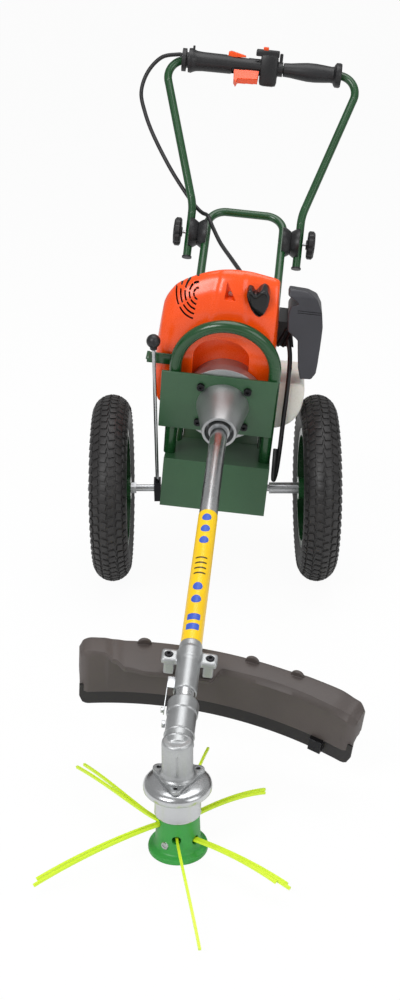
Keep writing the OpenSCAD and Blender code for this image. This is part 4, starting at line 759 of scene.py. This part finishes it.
strands = []
for hole_turn, hole_z, tip_turn, tip_reach, tip_z, beside in (
        (32, 0.040, 31.0, 0.131, 0.034, -1), (32, 0.040, 34.5, 0.137, 0.032, 1),
        (76, 0.040, 76.0, 0.161, 0.043, 0),
        (206, 0.048, 136.2, 0.177, 0.040, -1), (206, 0.048, 139.8, 0.179, 0.041, 1),
        (206, 0.044, 205.0, 0.187, 0.014, -1), (206, 0.044, 208.5, 0.195, 0.016, 1),
        (267, 0.031, 278.0, 0.197, 0.011, 0),
        (322, 0.0245, 319.5, 0.155, 0.027, -1), (322, 0.0245, 321.8, 0.171, 0.022, 0),
        (322, 0.0245, 324.1, 0.163, 0.020, 1)):
    aside = round_axis(hole_turn + 90, beside * strand_apart, 0)
    start = round_axis(hole_turn, 0.020, hole_z) + aside
    out = round_axis(hole_turn, 0.034, hole_z + 0.001) + aside
    tip = round_axis(tip_turn, tip_reach, tip_z)
    rise = (out + tip) / 2 + Vector((0, 0, strand_rise))
    line = [start * (1 - t) ** 3 + out * 3 * t * (1 - t) ** 2 + rise * 3 * t * t * (1 - t) + tip * t ** 3
            for t in (i / 30 for i in range(31))]
    strands.append(tube_along("strand", line, strand_r, line_nylon, 4))
placed(joined("nylon_strands", strands), Matrix(), "line head", "line_nylon", "trimmer_lines")

# Hoop and engine plate: a round tube bent to an arch over the engine, its legs down to the box, with a flat plate
# in front that carries the drive, and a short bracket at the left that guides the lean lever.
hoop_x, hoop_wide, hoop_rise, hoop_r, hoop_y = -0.0018, 0.0822, 0.0634, 0.0104, 0.0145
hoop_foot = -0.114
drum_hole_r = 0.0320
arch_outline = [(hoop_x - hoop_wide, hoop_foot), (hoop_x - hoop_wide, 0.0)]
arch_outline += arc((hoop_x, hoop_rise), hoop_wide, 180, 0, 40)
arch_outline += [(hoop_x + hoop_wide, 0.0), (hoop_x + hoop_wide, hoop_foot)]
arch = tube_along("arch_tube", [Vector((x, hoop_y, z)) for x, z in arch_outline], hoop_r, tube_enamel, 28)
placed(arch, engine_place, "chassis", "green_paint", "hoop_tube")
front_plate = boxed("front_plate", (-0.1055, 0, -0.054), (0.0870, 0.004, 0.0575), 0.0012)
drum_hole = turned("drum_hole", ((0, -0.02), (drum_hole_r, -0.02), (drum_hole_r, 0.02), (0, 0.02)), 64, along_y,
                   plate_enamel)
combine(front_plate, drum_hole, "DIFFERENCE")
placed(dressed(front_plate, plate_enamel), engine_place, "chassis", "green_paint", "engine_plate")
guide_parts = (("arm", (-0.1330, 0.0200, 0.0580), (-0.0880, 0.0230, 0.0780), 0.0010),
               ("lip", (-0.1330, 0.0000, 0.0765), (-0.1275, 0.0230, 0.0790), 0.0008))
guide = joined("lever_guide", [dressed(boxed(*part), tube_enamel) for part in guide_parts])
placed(guide, engine_place, "chassis", "green_paint", "lever_gate")

# Muffler: a small box of blackened sheet deep under the left of the cover.
# Only its dark front shows, between the cover and the hoop.
silencer = boxed("silencer", (-0.076, 0.075, 0.085), (-0.046, 0.108, 0.125), 0.004)
placed(dressed(silencer, black_steel), engine_place, "chassis", "dark_steel", "muffler")

# Throttle handle: a black moulded sleeve with two flared rings at its left, a block for the switch at its right
# and a small lever behind the block. The sleeve is slotted for the trigger and the lockout.
handle_pitch = math.radians(61)
hinge_place = chassis_place @ Matrix.Translation((0, 0.430, 0.357))
grip_place = (hinge_place @ Matrix.Rotation(handle_pitch, 4, "X") @ Matrix.Translation((0, 0.352, 0))
              @ Matrix.Rotation(-handle_pitch, 4, "X"))
trigger_tilt = Matrix.Rotation(math.radians(-45), 4, "X")
bore_r, slot_floor, slot_bevel = 0.0084, 0.0096, 0.0006


def sleeve(name, rings):
    """A hollow turned piece on the bar: (place along X, radius) from left to right."""
    profile = [(bore_r, rings[0][0])] + [(r, x) for x, r in rings] + [(bore_r, rings[-1][0])]
    return turned(name, profile, 64, along_x, black_nylon)


barrel = sleeve("tube", ((-0.163, 0.0160), (-0.1625, 0.0222), (-0.1545, 0.0222), (-0.154, 0.0150), (-0.150, 0.0150),
                         (-0.1495, 0.0232), (-0.144, 0.0238), (-0.139, 0.0213), (-0.133, 0.0194), (-0.120, 0.0184),
                         (-0.066, 0.0180), (-0.061, 0.0165), (-0.016, 0.0160), (0.0290, 0.0165), (0.0300, 0.0140),
                         (0.0390, 0.0140)))
trigger_slot = boxed("trigger_slot", (-0.0620, -0.0092, -0.0400), (-0.0050, 0.0092, -slot_floor), slot_bevel)
trigger_slot.data.transform(trigger_tilt)
lockout_slot = boxed("lockout_slot", (-0.0745, -0.0070, slot_floor), (-0.0300, 0.0070, 0.0400), slot_bevel)
for slot in (trigger_slot, lockout_slot):
    combine(barrel, dressed(slot, black_nylon), "DIFFERENCE")
handle_parts = (("block", (-0.0062, -0.0195, -0.0340), (0.0290, 0.0195, 0.0270), 0.0085),
                ("deck", (-0.0165, -0.0165, 0.0220), (0.0300, -0.0066, 0.0340), 0.0026),
                ("deck", (-0.0165, 0.0066, 0.0220), (0.0300, 0.0165, 0.0340), 0.0026),
                ("spur", (-0.1430, -0.0025, 0.0200), (-0.1385, 0.0025, 0.0290), 0.0016),
                ("lever", (0.0310, -0.0055, -0.0100), (0.0375, 0.0055, 0.0300), 0.0022))
throttle = joined("throttle_handle", [barrel] + [dressed(boxed(*part), black_nylon) for part in handle_parts])
placed(throttle, grip_place, "handlebar", "black_plastic", "throttle_body")

# Stop switch: a small orange slider between the two decks of the switch block.
# It slides along the bar.
slider = boxed("stop_slider", (-0.0030, -0.0052, 0.0280), (0.0075, 0.0052, 0.0395), 0.0012)
placed(dressed(slider, orange_plastic), grip_place, "stop switch", "orange_plastic", "stop_switch")

# Right grip: a black moulded barrel that swells in the middle.
# A flared guard ring closes its outer end.
grip = sleeve("barrel_grip", ((0.0400, 0.0120), (0.0412, 0.0132), (0.055, 0.0140), (0.070, 0.0160), (0.088, 0.0180),
                              (0.104, 0.0182), (0.122, 0.0168), (0.136, 0.0154), (0.1405, 0.0160), (0.1430, 0.0210),
                              (0.1455, 0.0236), (0.1530, 0.0238), (0.1560, 0.0220), (0.1565, 0.0150)))
placed(grip, grip_place, "handlebar", "black_plastic", "grip_right")

# Hinge saddles: two waisted black discs between the frame tube and the handlebar tube on each side, one of each
# pair fixed to the frame and one to the handlebar, pressed together by the knob's bolt.
rear_x, handle_x, middle_x, saddle_gap = 0.075, 0.108, 0.0915, 0.0002
saddle_wide, saddle_narrow, pin_r = 0.0300, 0.0225, 0.0033


def saddles(name, start, end, body, node):
    """A disc about X on each side, wide at its tube and narrow where it meets its partner."""
    parts = []
    for side in (1, -1):
        profile = [(pin_r, side * start)] + [
            (saddle_wide + (saddle_narrow - saddle_wide) * (1 - math.cos(math.pi / 2 * s)),
             side * (start + (end - start) * s)) for s in (0.0, 0.25, 0.45, 0.6, 0.75, 0.88, 1.0)]
        parts.append(turned("saddle", profile + [(pin_r, side * end)], 64, along_x, black_nylon))
    placed(joined(name, parts), hinge_place, body, "black_plastic", node)


saddles("fixed_saddles", rear_x, middle_x - saddle_gap, "chassis", "frame_discs")
saddles("turning_saddles", handle_x, middle_x + saddle_gap, "handlebar", "handle_discs")

# Hinge knobs: black moulded hand wheels with scalloped rims, one outside each tube.
# Each turns on a plated bolt with a nut on the inner side of the frame.
knob_r, knob_lobes, knob_scallop, knob_boss_r = 0.0275, 8, 0.10, 0.015
knob_out, stem_r, nut_r = 0.0083, 0.0030, 0.0070


def hand_wheel(name, side, body, node):
    """A scalloped knob on its bolt; side is 1 for the right and -1 for the left."""
    wheel = lathe("wheel", ((0, 0.006), (0.009, 0.006), (0.010, 0.0085), (knob_r - 0.003, 0.0085), (knob_r, 0.011),
                            (knob_r, 0.019), (knob_r - 0.004, 0.0225), (0.012, 0.0235), (0, 0.0235)), 96)
    for vertex in wheel.data.vertices:
        if math.hypot(vertex.co.x, vertex.co.y) > knob_boss_r:
            lobe = max(0.0, math.cos(knob_lobes * math.atan2(vertex.co.y, vertex.co.x)))
            scallop = 1 - knob_scallop * lobe ** 3
            vertex.co.x *= scallop
            vertex.co.y *= scallop
    stem = lathe("stem", ((0, -0.0445), (stem_r, -0.0445), (stem_r, 0.006), (0, 0.006)), 24)
    nut = lathe("nut", ((0.0031, -0.0475), (nut_r, -0.0475), (nut_r, -0.0415), (0.0031, -0.0415)), 6)
    made = joined(name, [dressed(wheel, black_nylon), dressed(stem, bright_steel), dressed(nut, black_steel)])
    made.data.transform(Matrix.Translation((side * (handle_x + knob_out), 0, 0))
                        @ Matrix.Rotation(side * math.pi / 2, 4, "Y"))
    placed(made, hinge_place, body, "black_plastic", node)


hand_wheel("hand_wheel_left", -1, "left hinge knob", "hinge_knob_left")
hand_wheel("hand_wheel_right", 1, "right hinge knob", "hinge_knob_right")

# Trigger and lockout: orange moulded levers, the trigger hanging in front of the handle next to the switch block,
# the lockout a low wedge on top of it. Each turns on its own pin.
trigger_face = ((-0.0075, -0.0150), (-0.0085, -0.0365), (-0.0480, -0.0390), (-0.0515, -0.0485), (-0.0562, -0.0400),
                (-0.0575, -0.0168))
trigger_lever = moulded(prism("trigger_lever", trigger_face, -0.008, 0.008), 0.0010, 3, orange_plastic)
placed(trigger_lever, grip_place @ trigger_tilt, "trigger", "orange_plastic", "trigger")
lockout_face = ((-0.0715, 0.0150), (-0.0712, 0.0245), (-0.0660, 0.0262), (-0.0370, 0.0198), (-0.0355, 0.0165),
                (-0.0560, 0.0150))
lockout_wedge = moulded(prism("lockout_wedge", lockout_face, -0.006, 0.006), 0.0008, 2, orange_plastic)
placed(lockout_wedge, grip_place, "lockout", "orange_plastic", "lockout")

# Throttle cable: a black sheathed cable that leaves the handle at its left, swings out, passes behind the left
# tube and over the frame to the engine; a second length hangs in a loop beside the tank.
cable_r = 0.0039


def cable_line(route, steps=10):
    """Points along a smooth line through the route, given in millimetres in the chassis frame."""
    knots = [chassis_place @ (Vector(p) / 1000) for p in route]
    knots = [knots[0] * 2 - knots[1]] + knots + [knots[-1] * 2 - knots[-2]]
    line = []
    for a, b, c, d in zip(knots, knots[1:], knots[2:], knots[3:]):
        for i in range(steps):
            t = i / steps
            line.append(0.5 * (2 * b + (c - a) * t + (2 * a - 5 * b + 4 * c - d) * t * t
                               + (3 * b - a - 3 * c + d) * t * t * t))
    return line + [knots[-2]]


upper_route = ((-163.5, 590, 674), (-171, 590, 674.5), (-203, 586, 666), (-228, 581, 636), (-237, 569, 598),
               (-225, 551, 562), (-203, 532, 522), (-164, 505, 468), (-128, 486, 426), (-104, 466, 404),
               (-88, 449, 395), (-75, 430, 393), (-61, 400, 376), (-41, 320, 365), (-15, 230, 357), (6, 175, 346),
               (20, 160, 330))
upper_cable = tube_along("throttle_cable", cable_line(upper_route), cable_r, black_nylon)
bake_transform(upper_cable)
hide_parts("cable_upper")
lower_route = ((97, -24, 290), (103, -31, 262), (105, -32, 220), (105, -32, 150), (105, -34, 100), (104, -36, 62),
               (101, -44, 46), (99, -52, 56), (98, -50, 80), (97.5, -38, 100))
lower_cable = tube_along("looped_cable", cable_line(lower_route), cable_r, black_nylon)
placed(lower_cable, Matrix(), "chassis", "black_plastic", "cable_lower")

# Tube band: yellow film wrapped round the drive tube.
# It is printed with plain blue dots, blue bars and thin dark bars, each a thin flake bent round the film.
yellow_film = surface("yellow_film", ("#f2c200", "#fbd000"), 2.0, (0.28, 0.36), 0.01, edge_mm=0.1)
blue_ink = surface("blue_printing_ink", ("#2c50b8", "#3a62c8"), 1.5, (0.3, 0.4), 0.005, edge_mm=0.1)
dark_ink = surface("dark_printing_ink", ("#3a3210", "#4a4018"), 1.5, (0.3, 0.4), 0.005, edge_mm=0.1)
coat(yellow_film, "yellow_band")
mark_r, mark_rings, mark_sides = 0.0146, 4, 48


def printed(first, pitch, count, half_across, half_along, power, finish):
    """A row of flat marks bent round the tube: discs for power 2, nearly bars for a high power."""
    made = []
    for i in range(count):
        ink = bmesh.new()
        rows = []
        for ring in range(mark_rings + 1):
            row = []
            for x, y in arc((0, 0), 1, 0, 360, mark_sides)[:-1]:
                reach = (abs(x) ** power + abs(y) ** power) ** (-1 / power) * ring / mark_rings
                around = half_across * x * reach / mark_r
                row.append(ink.verts.new((mark_r * math.sin(around), first - pitch * i + half_along * y * reach,
                                          mark_r * math.cos(around))))
            rows.append(row)
        made.append(dressed(skinned("mark", ink, rows, capped=False), finish))
    return made


marks = printed(0.436, 0.026, 3, 0.0072, 0.0080, 2, blue_ink)
marks += printed(0.345, 0.011, 4, 0.0090, 0.0016, 8, dark_ink)
marks += printed(0.284, 0.026, 2, 0.0072, 0.0080, 2, blue_ink)
marks += printed(0.223, 0.019, 2, 0.0095, 0.0060, 8, blue_ink)
placed(joined("printed_marks", marks), shaft_place, "chassis", "yellow_film")
